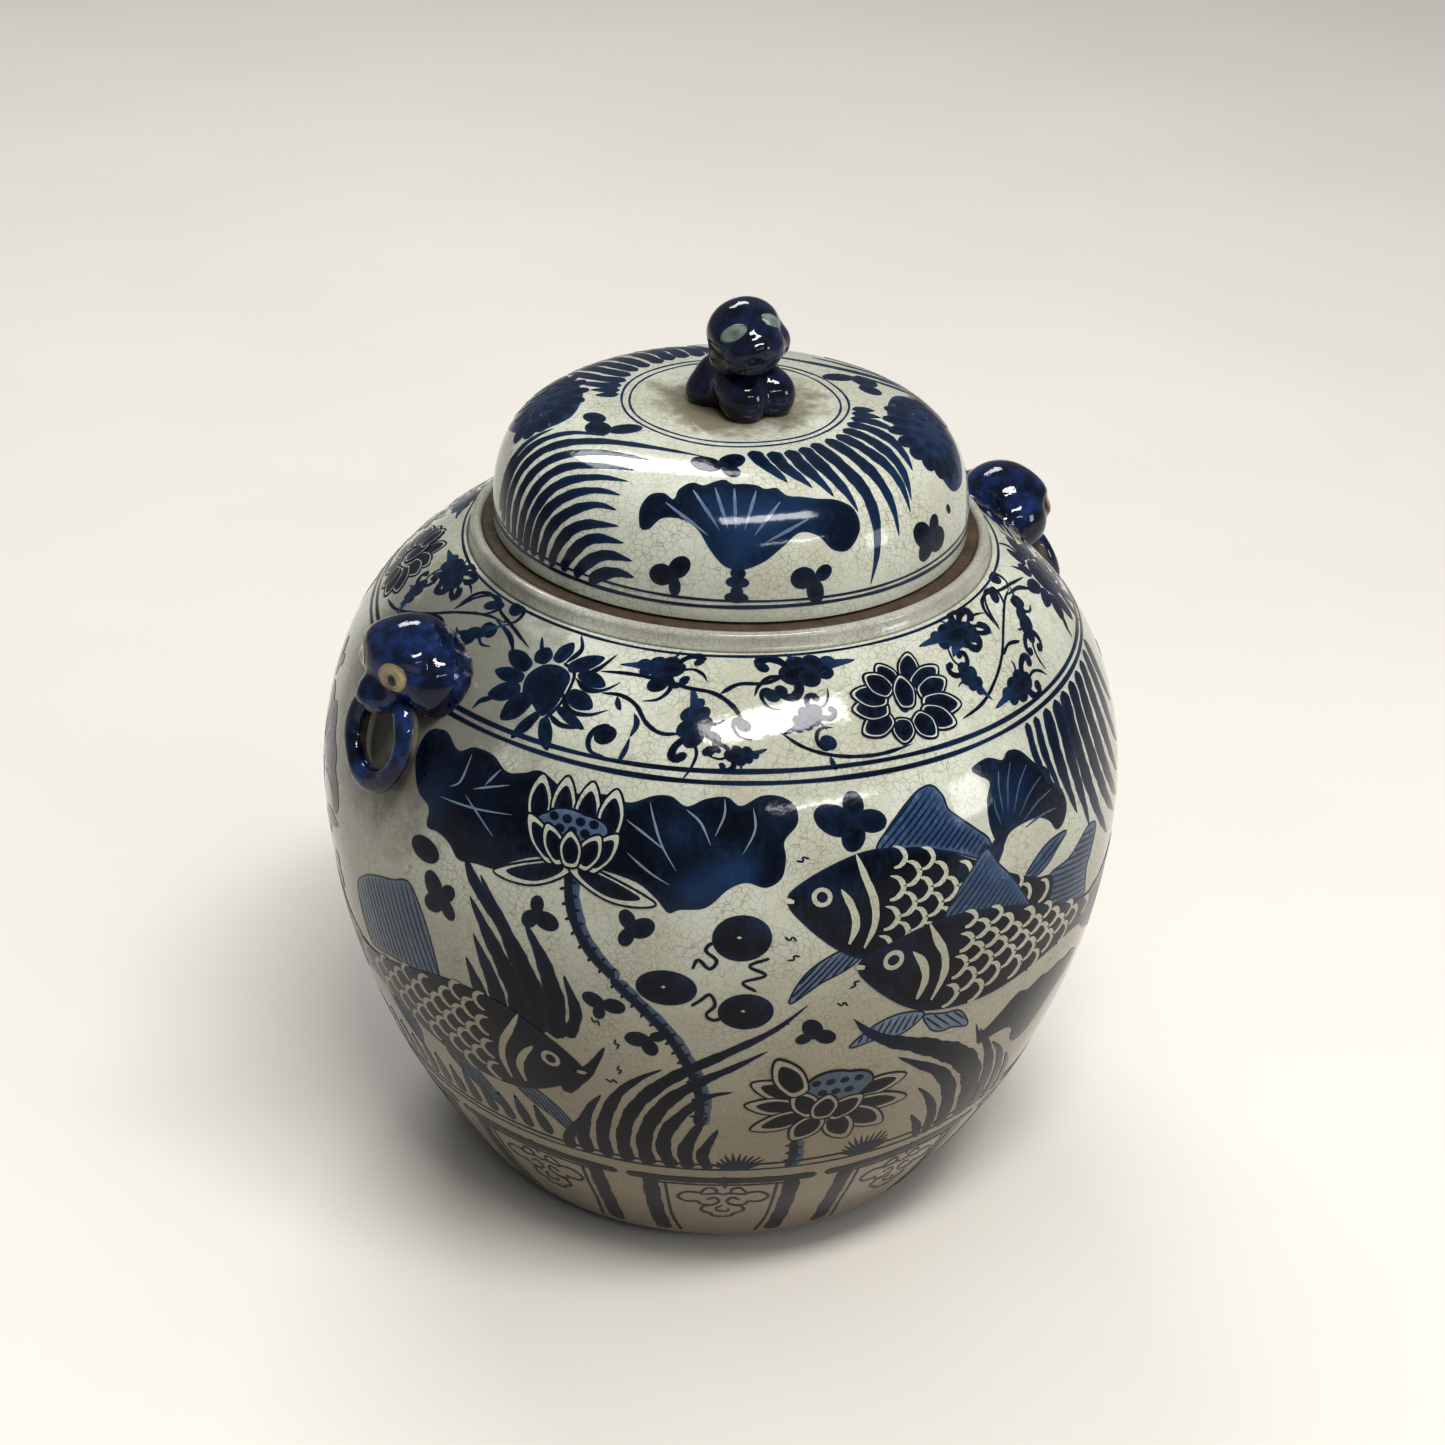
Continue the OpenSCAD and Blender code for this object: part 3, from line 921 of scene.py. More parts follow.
def broad_leaf(brush, place):
    """The big lotus leaf behind the flower, scalloped above and ragged below."""
    outline = [(-78, 6), (-74, 16), (-65, 19.5), (-57, 15.5), (-50, 19), (-41, 19.2), (-34, 15.5),
               (-27, 17), (-20, 19.5), (-8, 15), (6, 17), (14, 15.5), (22, 19), (28, 19.5), (34, 16.5),
               (40, 19.5), (47, 20.5), (52.5, 17.5), (59, 21), (66, 20.5), (71.5, 17), (73.5, 11),
               (70, 5), (71.5, -1), (71, -8), (66, -11.3), (59, -9.5), (53, -12), (46, -19), (37, -20.5),
               (33, -22), (28, -17), (20, -12), (4, -9.5), (-14, -10), (-26, -15), (-33, -20),
               (-42, -21), (-50, -22.3), (-55, -18), (-61, -16), (-67, -16), (-67, -9), (-74, -5)]
    brush.dark.shape(place, outline, washes=[(33, 7, 8, 0.3), (50, -8, 8, 0.55), (57, -5, 6, 0.55),
                                             (41, -14, 7, 0.6), (-66, -7, 7, 0.4), (-62, 2, 7, 0.25),
                                             (66, 12, 6, 0.2), (-45, 8, 10, 0.1), (-38, -12, 8, 0.15)])
    veins = [((-58, 2), (-53, 6), (-50, 17)), ((-62, -3), (-46, -1.5), (-28, 1.5)),
             ((-50, 2), (-43, -3), (-35, -9)), ((-47, 5), (-40, 8), (-31, 11.5)), ((-42, 8), (-36, 16)),
             ((21, 17), (24, 10), (28, 2), (34.5, -7)), ((34, 15.5), (40, 11), (45, 3)),
             ((46.5, 20), (47.5, 14), (45.5, 6)), ((14, 9.5), (22, 5), (30, 0)),
             ((16, -2), (25, -8), (33, -12)), ((57, 17), (59, 9), (56, 0))]
    for vein in veins:
        brush.wash.stroke(place, vein, 0.8, start=0.3, end=0.5, thin=0.8, over=brush.RESERVE_LIFT)


def leaf_flower(brush, place):
    """The lotus that stands in front of the big leaf."""
    for tip, lean in (((-34, -21), 7), ((28.5, -19.5), -7)):
        petal(brush, place, (-3.5, -10), tip, 8.5, lean=lean, edge=1.2)
    for x, y, lean in ((-19, 19, -1), (-9.5, 20.5, -0.4), (0, 20.5, 0.4), (9, 19.5, 1)):
        petal(brush, place, (x - lean, 0), (x, y), 9.4, edge=1.3)
    dotted_head(brush, place, -4.5, -1, 25, 9.5)
    for base, tip in (((-10, -10.5), (-22, 4)), ((3, -10.5), (12.5, 4)), ((-7, -10.5), (-14.5, 2.5)),
                      ((0, -10.5), (6, 2.5)), ((-3.5, -11), (-5, 2))):
        petal(brush, place, base, tip, 8.4, edge=1.2)


def leaf_fan(brush, place):
    """A lotus leaf seen from the side, ribbed from its stalk, with a loose fin below it."""
    outline = [(13, 17), (9, 26), (9.5, 36), (12.5, 42), (8, 46), (6, 49), (14, 50.5), (21, 47.5),
               (25, 49.5), (31, 47.5), (38, 40), (44, 36), (46, 30), (51, 25.5), (53.5, 18), (50, 12.5),
               (45, 12), (41, 17), (34, 21), (25, 22), (18, 21)]
    brush.dark.shape(place, outline, washes=[(18, 30, 7, 0.45), (28, 36, 8, 0.25), (16, 42, 6, 0.3)])
    for tip in ((18, 45), (25, 46), (33, 42), (40, 35), (45, 28), (47, 20), (13, 36)):
        foot = (15 + 0.35 * (tip[0] - 15), 20 + 0.35 * (tip[1] - 20))
        middle = (15 + 0.7 * (tip[0] - 15) - 1, 20 + 0.7 * (tip[1] - 20) + 1)
        brush.wash.stroke(place, [foot, middle, tip], 0.8, start=0.3, end=0.5, over=brush.RESERVE_LIFT)
    brush.dark.stroke(place, [(14, 19), (10, 14), (8, 9)], 4.5, thin=0.2)
    clover(brush, place, 9, 18, 4.5, 30)
    hatched(brush, place, [(25, 1), (33, 7), (42, 9.5), (52, 8.5), (46, 5), (38, 0.5), (31, -1)], (1, 0.35))


def seed_balls(brush, place):
    """Three dark fruit joined by a squiggling thread."""
    for x, y, rx, ry in ((20.5, 40, 10, 8), (-8, 49, 11, 7.5), (18, 71, 10.5, 9)):
        brush.dark.shape(place, ellipse(x, y, rx, ry, points=12), washes=[(x + 5, y + 4, 4, 0.3)])
        brush.reserve.shape(place, ellipse(x - 1, y + 0.5, 0.9, 0.7, points=6))
    thread = [(1, 42), (4, 44.5), (7.5, 47.5), (9.5, 43), (6.5, 38.5), (9, 36), (13, 37.5)]
    brush.dark.stroke(place, thread, 1.3)
    upper = [(1, 58), (3, 62), (7, 58.5), (9.5, 62), (5.5, 66), (8, 69), (11, 66)]
    brush.dark.stroke(place, upper, 1.3)
    brush.dark.stroke(place, [(24, 49), (19, 53), (27, 56), (21, 60), (28, 63)], 1.2)


WATER_WEEDS = [   # in the lower patch, foot first, with their widths
    ([(-22, -50), (-24, -35), (-21, -18), (-14, -4), (-3, 8), (14, 20), (31, 31), (43, 42)], 5.6),
    ([(-14, -50), (-16, -35), (-13, -20), (-6, -6), (5, 5), (17, 13), (29, 21)], 6.0),
    ([(-5, -50), (-8.5, -38), (-7, -25), (0, -12), (8, -3), (17, 0)], 5.6),
    ([(1, -50), (-0.5, -38), (3, -25), (8, -14)], 5.6),
    ([(8.5, -50), (6, -40), (9, -30), (12, -22)], 4.6),
    ([(-30, -50), (-32, -35), (-30, -20), (-25, -6), (-17, 4), (-9, 10)], 5.4),
    ([(-38, -50), (-40, -35), (-37, -20), (-32, -9)], 5.6),
    ([(-45, -50), (-46, -42), (-42, -30), (-41, -27)], 5.0)]

RISING_WEEDS = [  # in the left fish patch
    ([(12, 11), (9, 22), (4, 35)], 6.0), ([(19, 11), (16, 28), (8, 47)], 7.0),
    ([(27, 11), (25, 30), (14, 50), (6, 62)], 8.5), ([(34, 11), (33.5, 30), (24, 50), (10, 72)], 8.5),
    ([(41, 11), (42, 28), (38, 45), (30, 60)], 8.0), ([(46, 13), (50, 26), (46, 42)], 5.0)]

REEDS = [  # in the right patch, hanging from the shoulder line
    ([(-7, 34.5), (-9.5, 22), (-6, 8)], 3.6), ([(-1, 34.5), (-4, 20), (0, 1)], 4.0),
    ([(7, 34.5), (3.5, 20), (4.5, 6), (9, -9)], 6.6), ([(15, 34.5), (12, 18), (13, 2), (19, -19)], 6.8),
    ([(23, 34.5), (19, 18), (21, 0), (29, -18), (42, -34)], 7.2),
    ([(32, 34.5), (28, 18), (31, 0), (41, -18), (56, -32)], 7.2),
    ([(41, 34.5), (37, 18), (41, -2), (53, -20), (66, -30)], 7.2),
    ([(50, 34.5), (47, 18), (52, -2), (63, -18)], 7.0), ([(59, 34.5), (58, 18), (63, 2), (72, -10)], 6.6),
    ([(68, 34.5), (68, 20), (74, 6)], 6.0)]

RIGHT_WEEDS = [   # in the lower right patch, tip last
    ([(57, -42), (56.5, -26), (52, -8), (41, 7.5), (23, 20.5), (8, 28), (-2, 35), (-9, 43)], 10.5),
    ([(45, -42), (45, -28), (41.5, -12), (33, 2), (22, 11), (12, 18.5)], 7.0),
    ([(38, -42), (37, -26), (31.5, -13), (25, -4)], 4.6),
    ([(33.5, -42), (31, -32), (26, -22)], 4.2),
    ([(65.5, -42), (65, -20), (60, -2), (50, 18)], 6), ([(73.5, -42), (73, -22), (68, -6), (60, 5)], 5),
    ([(81, -42), (80, -25), (75, -12)], 4.5)]

RAGGED_LEAF = [     # below the pair of carp
    (-51, -14), (-46, -20), (-38, -15), (-33, -11), (-28, -9), (-22, -11), (-14, -9), (-8, -10.5),
    (0, -10), (7, -12), (13, -12), (20, -16), (16, -22), (8, -26), (2, -30), (-3, -36), (-8, -40),
    (-13, -42), (-18, -41), (-22, -37), (-24, -31), (-29, -27), (-37, -26), (-45, -27), (-48, -22)]


def far_side(brush, azimuth):
    """A leaf on its stalk, weeds and clovers, between the carp and the next big leaf."""
    place = Patch(azimuth, 150)
    bristly_stem(brush, place, [(3, -82), (0, -55), (-6, -25), (-3, 4), (2, 26)], 5.0)
    leaf_fan(brush, Patch(azimuth - 4.5, 158))
    for points, width in WATER_WEEDS[:5]:
        blade(brush.dark, place, placed(points, 2, -42, 0, 0.8, True), width * 0.9)
    for points, width in WATER_WEEDS[:3]:
        blade(brush.dark, place, placed(points, 18, -52, 0, 0.6), width * 0.8)
    for x, y, turn, lobes in ((-28, 30, 10, 4), (-30, 0, 50, 3), (28, -8, 80, 3), (-8, 66, 20, 3),
                              (34, -40, 0, 3)):
        clover(brush, place, x, y, 6.5, turn, lobes)
    tuft(brush, place, 36, -78, 13)
    ticks(brush, place, [(-18, 16, 0), (14, -22, 40), (22, 6, -30), (-40, 12, 20)])


def main_band(azimuth):
    """The pond, once round half of the jar: leaf and lotus, three carp, weeds and reeds.
    Each patch has its middle at the azimuth and height given here."""
    leaf_at, fish_at = Patch(azimuth - 18, 215), Patch(azimuth + 36, 185)
    left_at, low_at = Patch(azimuth - 36, 120), Patch(azimuth - 3, 115)
    right_at, low_right = Patch(azimuth + 55, 205), Patch(azimuth + 22, 105)
    name = "front" if azimuth == 0 else "back"
    plants, beasts = Brush(name + "_plants", JAR, "jar"), Brush(name + "_carp", JAR, "jar")

    broad_leaf(plants, leaf_at)
    leaf_flower(plants, leaf_at)
    runner = [(-47, -20), (-42, -28), (-34, -36), (-26, -45)]
    plants.dark.stroke(leaf_at, runner, 5.5, start=0.3, thin=0.1)
    plants.dark.shape(leaf_at, ellipse(-67, -25, 7.5, 4.8))
    for x, y, size, turn, lobes in ((-15, -32, 6, 100, 3), (20, -30, 6, 0, 3), (-58, -41, 7.5, 45, 4)):
        clover(plants, leaf_at, x, y, size, turn, lobes)
    lower_stem = [(-28, 50), (-18, 40), (-9, 30), (-3, 20), (2, 8), (5, -6), (4, -20)]
    bristly_stem(plants, low_at, lower_stem, 5.0)
    upper_stem = [(-4, -11), (-3.5, -20), (-1, -30), (3, -38), (8, -44.5), (15, -51)]
    bristly_stem(plants, leaf_at, upper_stem, 5.2)
    seed_balls(plants, low_at)
    for patch, weeds in ((low_at, WATER_WEEDS), (low_right, RIGHT_WEEDS)):
        for points, width in weeds:
            blade(plants.dark, patch, points, width)
    for points, width in REEDS:
        blade(plants.dark, right_at, points, width, thin=0.12, tip_thin=0.2)
    for x, y, turn, lobes in ((-31, 37, 20, 3), (-14, 24, 50, 3), (46, 27, 90, 3)):
        clover(plants, low_at, x, y, 5.8, turn, lobes)
    clover(plants, fish_at, -45, 41, 9, 80, 4)
    lotus(plants, low_right)
    bristly_stem(plants, low_right, [(-23, -21), (-21.5, -31), (-22, -40)], 5.0)
    tuft(plants, low_right, -42, -40, 13)
    tuft(plants, low_right, 8, -40, 15, 13)
    leaf_fan(plants, fish_at)
    far_side(plants, azimuth + 99)
    plants.dark.shape(Patch(azimuth + 58, 140), RAGGED_LEAF, thin=0.05)
    ticks(plants, low_at, [(-34, 29, -20), (-26, 20, -60), (-28, 0, 10), (-25, 7, -70), (34, 33, 40)])
    ticks(plants, fish_at, [(-66, 29, 30), (-73, 0, 0), (-72, -8, 40), (-53, -30, 0), (-49, -22, 60)])

    between = [(-13, -4), (-8, 7), (-1, 14), (6, 19), (11, 12), (17, 5), (22, -2), (27, -12), (10, -12)]
    fish(beasts, fish_at, -73, 15, 1.0, -14, fins=1)
    hatched(beasts, fish_at, between, (0.75, 0.66), over=beasts.next_layer())
    fish(beasts, fish_at, -48, -14, 1.12, -11, dorsal=False, fins=0, girth=0.74)
    for fin, way in (([(-9, 29), (-3, 36), (4, 40), (12, 41), (20, 38), (12, 31), (2, 31)], (0.4, 0.92)),
                     ([(20, 37), (29, 35), (37, 33), (42, 24), (34, 26), (29, 26), (24, 29)], (0.7, -0.7))):
        hatched(beasts, low_right, fin, way, gap=2.6, thin=0.85)
    fish(beasts, left_at, 50, -3, 1.05, 2, flip=True, dorsal=False)
    for points, width in RISING_WEEDS:
        blade(beasts.dark, left_at, points, width)
    back_fin = [(-60, 8), (-42, 11), (-26, 14), (-12, 16), (-14, 33), (-19, 46), (-26, 54), (-36, 50),
                (-47, 46), (-58, 40), (-66, 30)]
    hatched(beasts, left_at, back_fin, (-0.35, 0.94), gap=3.2, thin=0.5)
    blade(beasts.dark, left_at, [(40, -17), (47, -9), (54, 1), (60, 12)], 5.0)
    for k in range(11):
        x = -62 + 8.6 * k
        blade(beasts.dark, left_at, [(x + 3, -50), (x + 1.5, -42), (x, -31 - 1.5 * (k % 3))], 5.4, thin=0.04)
    plants.finish()
    beasts.finish()


PALMETTE_SIZE = 0.84


def shoulder_band(azimuth, brush):
    """A third of the shoulder: two flowers, and the vine and its leaves between them."""
    left, right = Patch(azimuth - 36, 253), Patch(azimuth + 28, 253)
    heart = [(2, 3), (5.5, 8.8), (12, 10.6), (17.8, 8), (19, 1.5), (18.6, -5), (15.5, -9), (10, -6.2),
             (4, -3.4)]
    brush.dark.shape(left, heart, thin=0.08)
    brush.dark.stroke(left, [(12.5, 12.2), (18.5, 9.6), (20.3, 2), (19.4, -5), (16.5, -10.5)], 1.2)
    for base, tip, width in (((20.5, 10.5), (32, 7.5), 5.6), ((20.8, 2), (32, -1.5), 6.6),
                             ((20.2, -4.5), (33, -9.5), 3.6), ((17, -9.5), (23.5, -20), 5.2),
                             ((14, -8.5), (8, -20), 4.4), ((7.5, -3.5), (0.5, -15), 8.4),
                             ((2, -2.5), (-9.5, -9), 6.8), ((1, 1.5), (-12, 0), 5.6),
                             ((1, 6), (-11, 8.8), 6.8), ((3.5, 9), (3.4, 16), 7.2),
                             ((9.5, 11.8), (11, 21), 6), ((15.5, 10.8), (25.5, 18.5), 6.4)):
        leaflet(brush, left, base, tip, width)
    for tail in (((17, -7), (24, -10), (33, -9)), ((17, -10), (20, -14), (24, -20)),
                 ((14, -10), (12.5, -14.5), (8, -20)), ((20, 8), (26, 5), (32, 6), (36.5, 10.5)),
                 ((18, 2), (24, -4), (32, -4), (38, -0.5)), ((13, 12), (15.5, 19), (11.5, 25)),
                 ((22, 10), (26, 14), (28.8, 21)), ((5, 12), (1.5, 14), (-2, 19)),
                 ((-8, 8), (-15, 14), (-26, 17)), ((-6, -9), (-11, -12), (-13, -16))):
        brush.dark.stroke(left, tail, 2.1, start=0.3, end=0.6)
    for tip, base in (((0, 20.5), (4, 7)), ((17, 22), (11, 8)), ((28.5, 11.5), (12, 6)),
                      ((30, 5), (14, 2)), ((33, -7.5), (14, -2)), ((27, -14.5), (12, -5)),
                      ((15.5, -17), (8, -6)), ((-1, -16.5), (2, -6)), ((-18, -9), (-3, -4)),
                      ((-19, 2), (-3, 0)), ((-17, 9), (-2, 4)), ((-8, 16.5), (1, 6)), ((8, 13), (6, -2))):
        base, tip = placed([base, tip], 2, 0, 0, 0.84)
        petal(brush, right, base, tip, 8.6, edge=0.75)
    brush.dark.shape(right, ellipse(6, 0, 2.3, 3.2), thin=0.35)
    vines = [(left, ((27, 13), (36, 14.3), (46, 14.2), (60, 12), (70, 10.5), (80, 5), (88, -3))),
             (left, ((32, 5), (39, 5.6), (46, 3), (53, -3), (60, -6), (68, -5))),
             (left, ((-48, 13), (-42, 21), (-34, 23.5), (-25, 20), (-16, 17.5), (-4, 13))),
             (right, ((-42, -4), (-35, -10), (-24, -14), (-10, -15.5), (4, -14.5))),
             (right, ((-58, 10.5), (-50, 14.5), (-40, 15), (-30, 19))),
             (right, ((28, -11.5), (40, -9), (50, -4), (59, 2), (68, 10), (78, 16), (88, 17.5))),
             (right, ((60, 2), (66, 4), (74, 2))), (right, ((65, 10), (65, 19), (69, 24), (76, 23)))]
    for patch, vine in vines:
        brush.dark.stroke(patch, vine, 1.35, start=0.1, end=0.15)
    for patch, x, y, size, turn, flip in ((left, 49, 18.5, 0.85, 3, False), (left, 70, -4, 0.95, -62, False),
                                          (right, -27, 18, 1.1, 8, True), (right, 42, 17.5, 1.0, -6, False),
                                          (right, 38, 3, 0.72, 118, False), (right, 64, -11, 0.95, 5, False),
                                          (left, -62, 17, 0.9, 20, False), (right, -29, 2, 0.7, -150, True),
                                          (right, 84, 3, 0.8, 70, True), (right, -60, -12, 0.6, 190, False)):
        palmette(brush, patch, x, y, PALMETTE_SIZE * size, turn, flip)
    for patch, x, y, size, turn, flip in ((left, 49, 11, 4.6, 0, False), (left, 41.5, -11, 4.9, 10, True),
                                          (right, -40, 9, 3.6, 0, True), (right, -26, -8, 3.8, 160, False),
                                          (left, -20, 23, 4, 0, False), (left, -24, 11, 4.2, 30, True),
                                          (right, 74, 19.5, 3.8, 0, False), (right, -54, -2, 3.4, 0, True)):
        curl(brush, patch, x, y, size, turn, flip)
    for patch, points in ((left, ((50, -9), (50.5, -14), (50, -19))), (left, ((47, 0), (50, -4), (50, -9))),
                          (right, ((-27, -13.5), (-27, -16), (-26.5, -19))),
                          (left, ((38, 5), (40, 2), (42, 0)))):
        brush.dark.stroke(patch, points, 1.9, start=0.4, end=0.3, thin=0.25)


def cloud_scroll(brush, place):
    """The knot of cloud in the middle of each foot panel, drawn in line."""
    middle = 5
    scrolls = (([(5, 11), (7, 12.5), (13, 11.5), (13.5, 13.5), (11, 17.5), (8, 16), (8, 12.5)], 1.1),
               ([(13, 12.5), (19, 13), (22.5, 8.5), (19.5, 4), (14, 4.5)], 1.3),
               ([(14.5, 4.5), (13.5, 1.5), (9, 1.2), (6.5, 5), (8.5, 8.5), (11.5, 6)], 1.2),
               ([(8.5, 1), (12.5, -1), (13, -5.5), (9.5, -8.5), (8.5, -11), (5, -11.8)], 1.3))
    for side in (1, -1):
        for points, width in scrolls:
            brush.dark.stroke(place, [(middle + side * (x - middle), y) for x, y in points], width)
    brush.dark.stroke(place, [(5, 0.5), (2.6, -2), (3.6, -5.5), (7, -5.5), (7.4, -2.8)], 1.1)
    brush.dark.stroke(place, [(4.6, 27), (5.6, 23), (5.2, 17)], 2.0, end=0.4)


def foot_band(brush, panels=11):
    """Leaning panels round the foot: a thick frame, a fine one inside it, and a cloud."""
    middle, inset = 4, 6
    leg = [(21, -32), (24.5, -10), (26.5, 10), (27.5, 22.6)]    # x from the panel's middle
    for k in range(panels):
        place = Patch(360 * (k + 0.03) / panels, 38)
        for side in (1, -1):
            brush.dark.stroke(place, [(middle + side * x, y) for x, y in leg], 6.4)
            inner = [(14.5, -32)] + [(x - inset, y - 2.5) for x, y in leg[1:]]
            brush.dark.stroke(place, [(middle + side * x, y) for x, y in inner], 1.2, thin=0.05)
        brush.dark.stroke(place, [(-33, 23.2), (4, 23.8), (41, 23.2)], 4.4)
        brush.dark.stroke(place, [(-25, 18.5), (-20, 19.6), (4, 20), (28, 19.6), (33, 18.5)], 1.0, thin=0.05)
        cloud_scroll(brush, place)


def ring_line(ink, surface, width, z=None, s=None, thin=0.0):
    """A line drawn right round a turned surface."""
    level = surface.height(z) if s is None else s
    azimuth = np.linspace(0, 2 * math.pi, TURNS, endpoint=False)

    def place(points):
        return points[:, 0], points[:, 1]

    wander = 0.25 * np.sin(3 * azimuth + level) + 0.15 * np.sin(7 * azimuth)
    swell = width * (1 + 0.12 * np.sin(9 * azimuth + level) + 0.08 * np.sin(23 * azimuth))
    lanes = np.array([-0.5, 0.0, 0.5])
    across = level + wander[:, None] + swell[:, None] * lanes
    points = np.stack([np.repeat(azimuth, 3), across.ravel()], axis=1)
    faces = []
    for i in range(TURNS):
        j = (i + 1) % TURNS
        for k in range(2):
            faces.append((i * 3 + k, j * 3 + k, j * 3 + k + 1, i * 3 + k + 1))
    shade = thin + 0.12 + 0.12 * np.sin(11 * points[:, 0]) + np.tile([0.2, 0, 0.2], TURNS)
    ink.lay(place, points, faces, np.clip(shade, 0, 1))


# The lid's half pattern, in its unrolled plan: fronds foot first
RIM_FRONDS = [
    [(-104, -37), (-92, -30), (-80, -25), (-67, -23)],
    [(-105, -43), (-90, -34), (-75, -29), (-60, -29.5), (-47, -35)],
    [(-104, -50), (-88, -40), (-70, -35.5), (-50, -38.5), (-30, -45), (-10, -52)],
    [(-101, -56.5), (-85, -47), (-68, -43), (-50, -46), (-30, -54)],
    [(-98, -62), (-82, -54), (-65, -50), (-50, -54), (-35, -60)],
    [(-95, -67), (-80, -60), (-65, -57), (-50, -60), (-37, -65.5)],
    [(-91, -72), (-77, -65), (-63, -63.5), (-50, -66), (-40, -71)],
    [(-87, -77), (-74, -71), (-62, -70), (-50, -72), (-42, -76.5)],
    [(-82, -82), (-70, -77.5), (-58, -77), (-42, -82.5)],
    [(-76, -87), (-65, -84), (-54, -83.5), (-41, -89)],
    [(-70, -92), (-60, -90.5), (-50, -91), (-39, -96)],
    [(-63, -97), (-55, -97), (-47, -98.5), (-40, -102)]]
RING_FAN = [
    [(7, -46), (11, -55), (20, -66)], [(14, -46), (19, -57), (29, -67)],
    [(20, -44), (26, -56), (37, -69)], [(25, -41), (33, -55), (47, -72)],
    [(29, -37), (39, -51), (51, -66), (59, -81), (63, -94)], [(34, -32.5), (45, -45), (57, -59), (67, -72)],
    [(38, -28), (50, -39), (60, -49), (69, -61)], [(40.5, -22.5), (51, -30), (61, -42), (68, -56)],
    [(42, -17), (52, -21), (60, -29), (67, -42)], [(43.5, -12), (52, -13.5), (61, -19)],
    [(44, -7), (55, -8.5)], [(44.3, -3), (53, -2.5)]]


def lid_half(brush, turn):
    """Half of the lid: fronds from the rim, a lotus leaf, a fan from the ring and a flower bush."""
    place = Plan(turn)
    for points in RIM_FRONDS:
        blade(brush.dark, place, points, 4.8, thin=0.08)
    for points in RING_FAN:
        blade(brush.dark, place, points, 5.6, thin=0.2)
    leaf = [(-33.5, -85), (-33, -78), (-29, -73), (-24, -73), (-20.5, -76), (-18.5, -71.5), (-14, -68.5),
            (-10, -70), (-6, -68), (-2.5, -66.8), (0.5, -69), (4.5, -68.6), (9, -69), (12, -70.5),
            (16, -69.5), (20, -72.5), (25, -72), (31, -71.5), (38, -70), (45, -71.5), (49, -78),
            (46.5, -86.5), (40, -88.5), (33, -85.5), (26, -86), (20.5, -92), (14.5, -98), (8, -101.5),
            (3, -102.3), (-2.5, -100.5), (-7.5, -95), (-12, -88), (-18, -84), (-25, -83), (-30, -86)]
    brush.dark.shape(place, leaf, thin=0.08, spacing=2.4, washes=[
        (5, -88, 11, 0.5), (14, -82, 9, 0.4), (-4, -80, 8, 0.3), (26, -78, 8, 0.35), (2, -98, 6, 0.3)])
    for tip in ((-24, -76.5), (-14, -71.5), (-6, -70.5), (1, -70.5), (9, -71), (18, -75), (29, -80)):
        foot = (3 + 0.4 * (tip[0] - 3), -100 + 0.4 * (tip[1] + 100))
        bend = (3 + 0.74 * (tip[0] - 3), -100 + 0.72 * (tip[1] + 100))
        brush.wash.stroke(place, [foot, bend, tip], 1.2, start=0.4, end=0.4, thin=0.35,
                          over=brush.RESERVE_LIFT)
    for y, size in ((-103.5, 3.2), (-106.8, 5.0), (-110.3, 2.8), (-112.6, 5.4)):
        brush.dark.shape(place, ellipse(4, y, size, 2.1, points=8), thin=0.1)
    for x, y, size, turn_by, lobes in ((-4, -58, 7.5, 180, 3), (-23, -104, 6.5, 160, 3),
                                       (36, -101, 7, 60, 3), (84, -61, 8, 20, 4)):
        clover(brush, place, x, y, size, turn_by, lobes)
    brush.dark.shape(place, ellipse(89, -43, 2, 1.7, points=6))
    bush(brush, place)
    for x, y, rx, ry, angle in ((40, 30, 6.5, 4, 10), (50, 28.5, 6.5, 4.6, -60), (52, 19, 5.5, 3.6, -50)):
        brush.dark.shape(place, ellipse(x, y, rx, ry, angle, 8), thin=0.1)


def bush(brush, place):
    """A round clump of leaves with a paler heart, beside the fan."""
    brush.dark.shape(place, [(60, 14), (68, 21), (78, 19), (86, 8), (92, -8), (94, -22), (88, -34),
                             (76, -33), (66, -24), (58, -8)], thin=0.5, spacing=2.6)
    high = brush.next_layer()[1]
    for k in range(14):
        angle = math.radians(60 + 20.5 * k)
        x, y = 75 + 14 * math.cos(angle), -7 + 24 * math.sin(angle)
        outward = math.degrees(math.atan2(24 * math.sin(angle), 14 * math.cos(angle)))
        brush.dark.shape(place, ellipse(x, y, 5.6, 3.4, outward, 8), thin=0.05, over=high)
    for k in range(9):
        angle = math.radians(40 * k + 15)
        x, y = 76 + 7.5 * math.cos(angle), -7 + 13 * math.sin(angle)
        brush.dark.shape(place, ellipse(x, y, 3.6, 2.2, math.degrees(angle), 8), thin=0.1, over=high)


NECK_LINES = ((270.0, 1.0), (268.4, 0.7))           # height and width of each line
SHOULDER_LINE_Z, SHOULDER_LINE_GAP, SHOULDER_LINE_WIDTH = 237.2, 3.6, 1.7
FOOT_LINES = ((70.5, 1.1, 0.0), (67.0, 0.9, 0.2))   # height, width and thinness
LID_EDGE_LINES = ((281.0, 1.3), (283.5, 0.9))
LID_RING_LINES = ((43.1, 0.9), (40.0, 0.8))         # radius and width


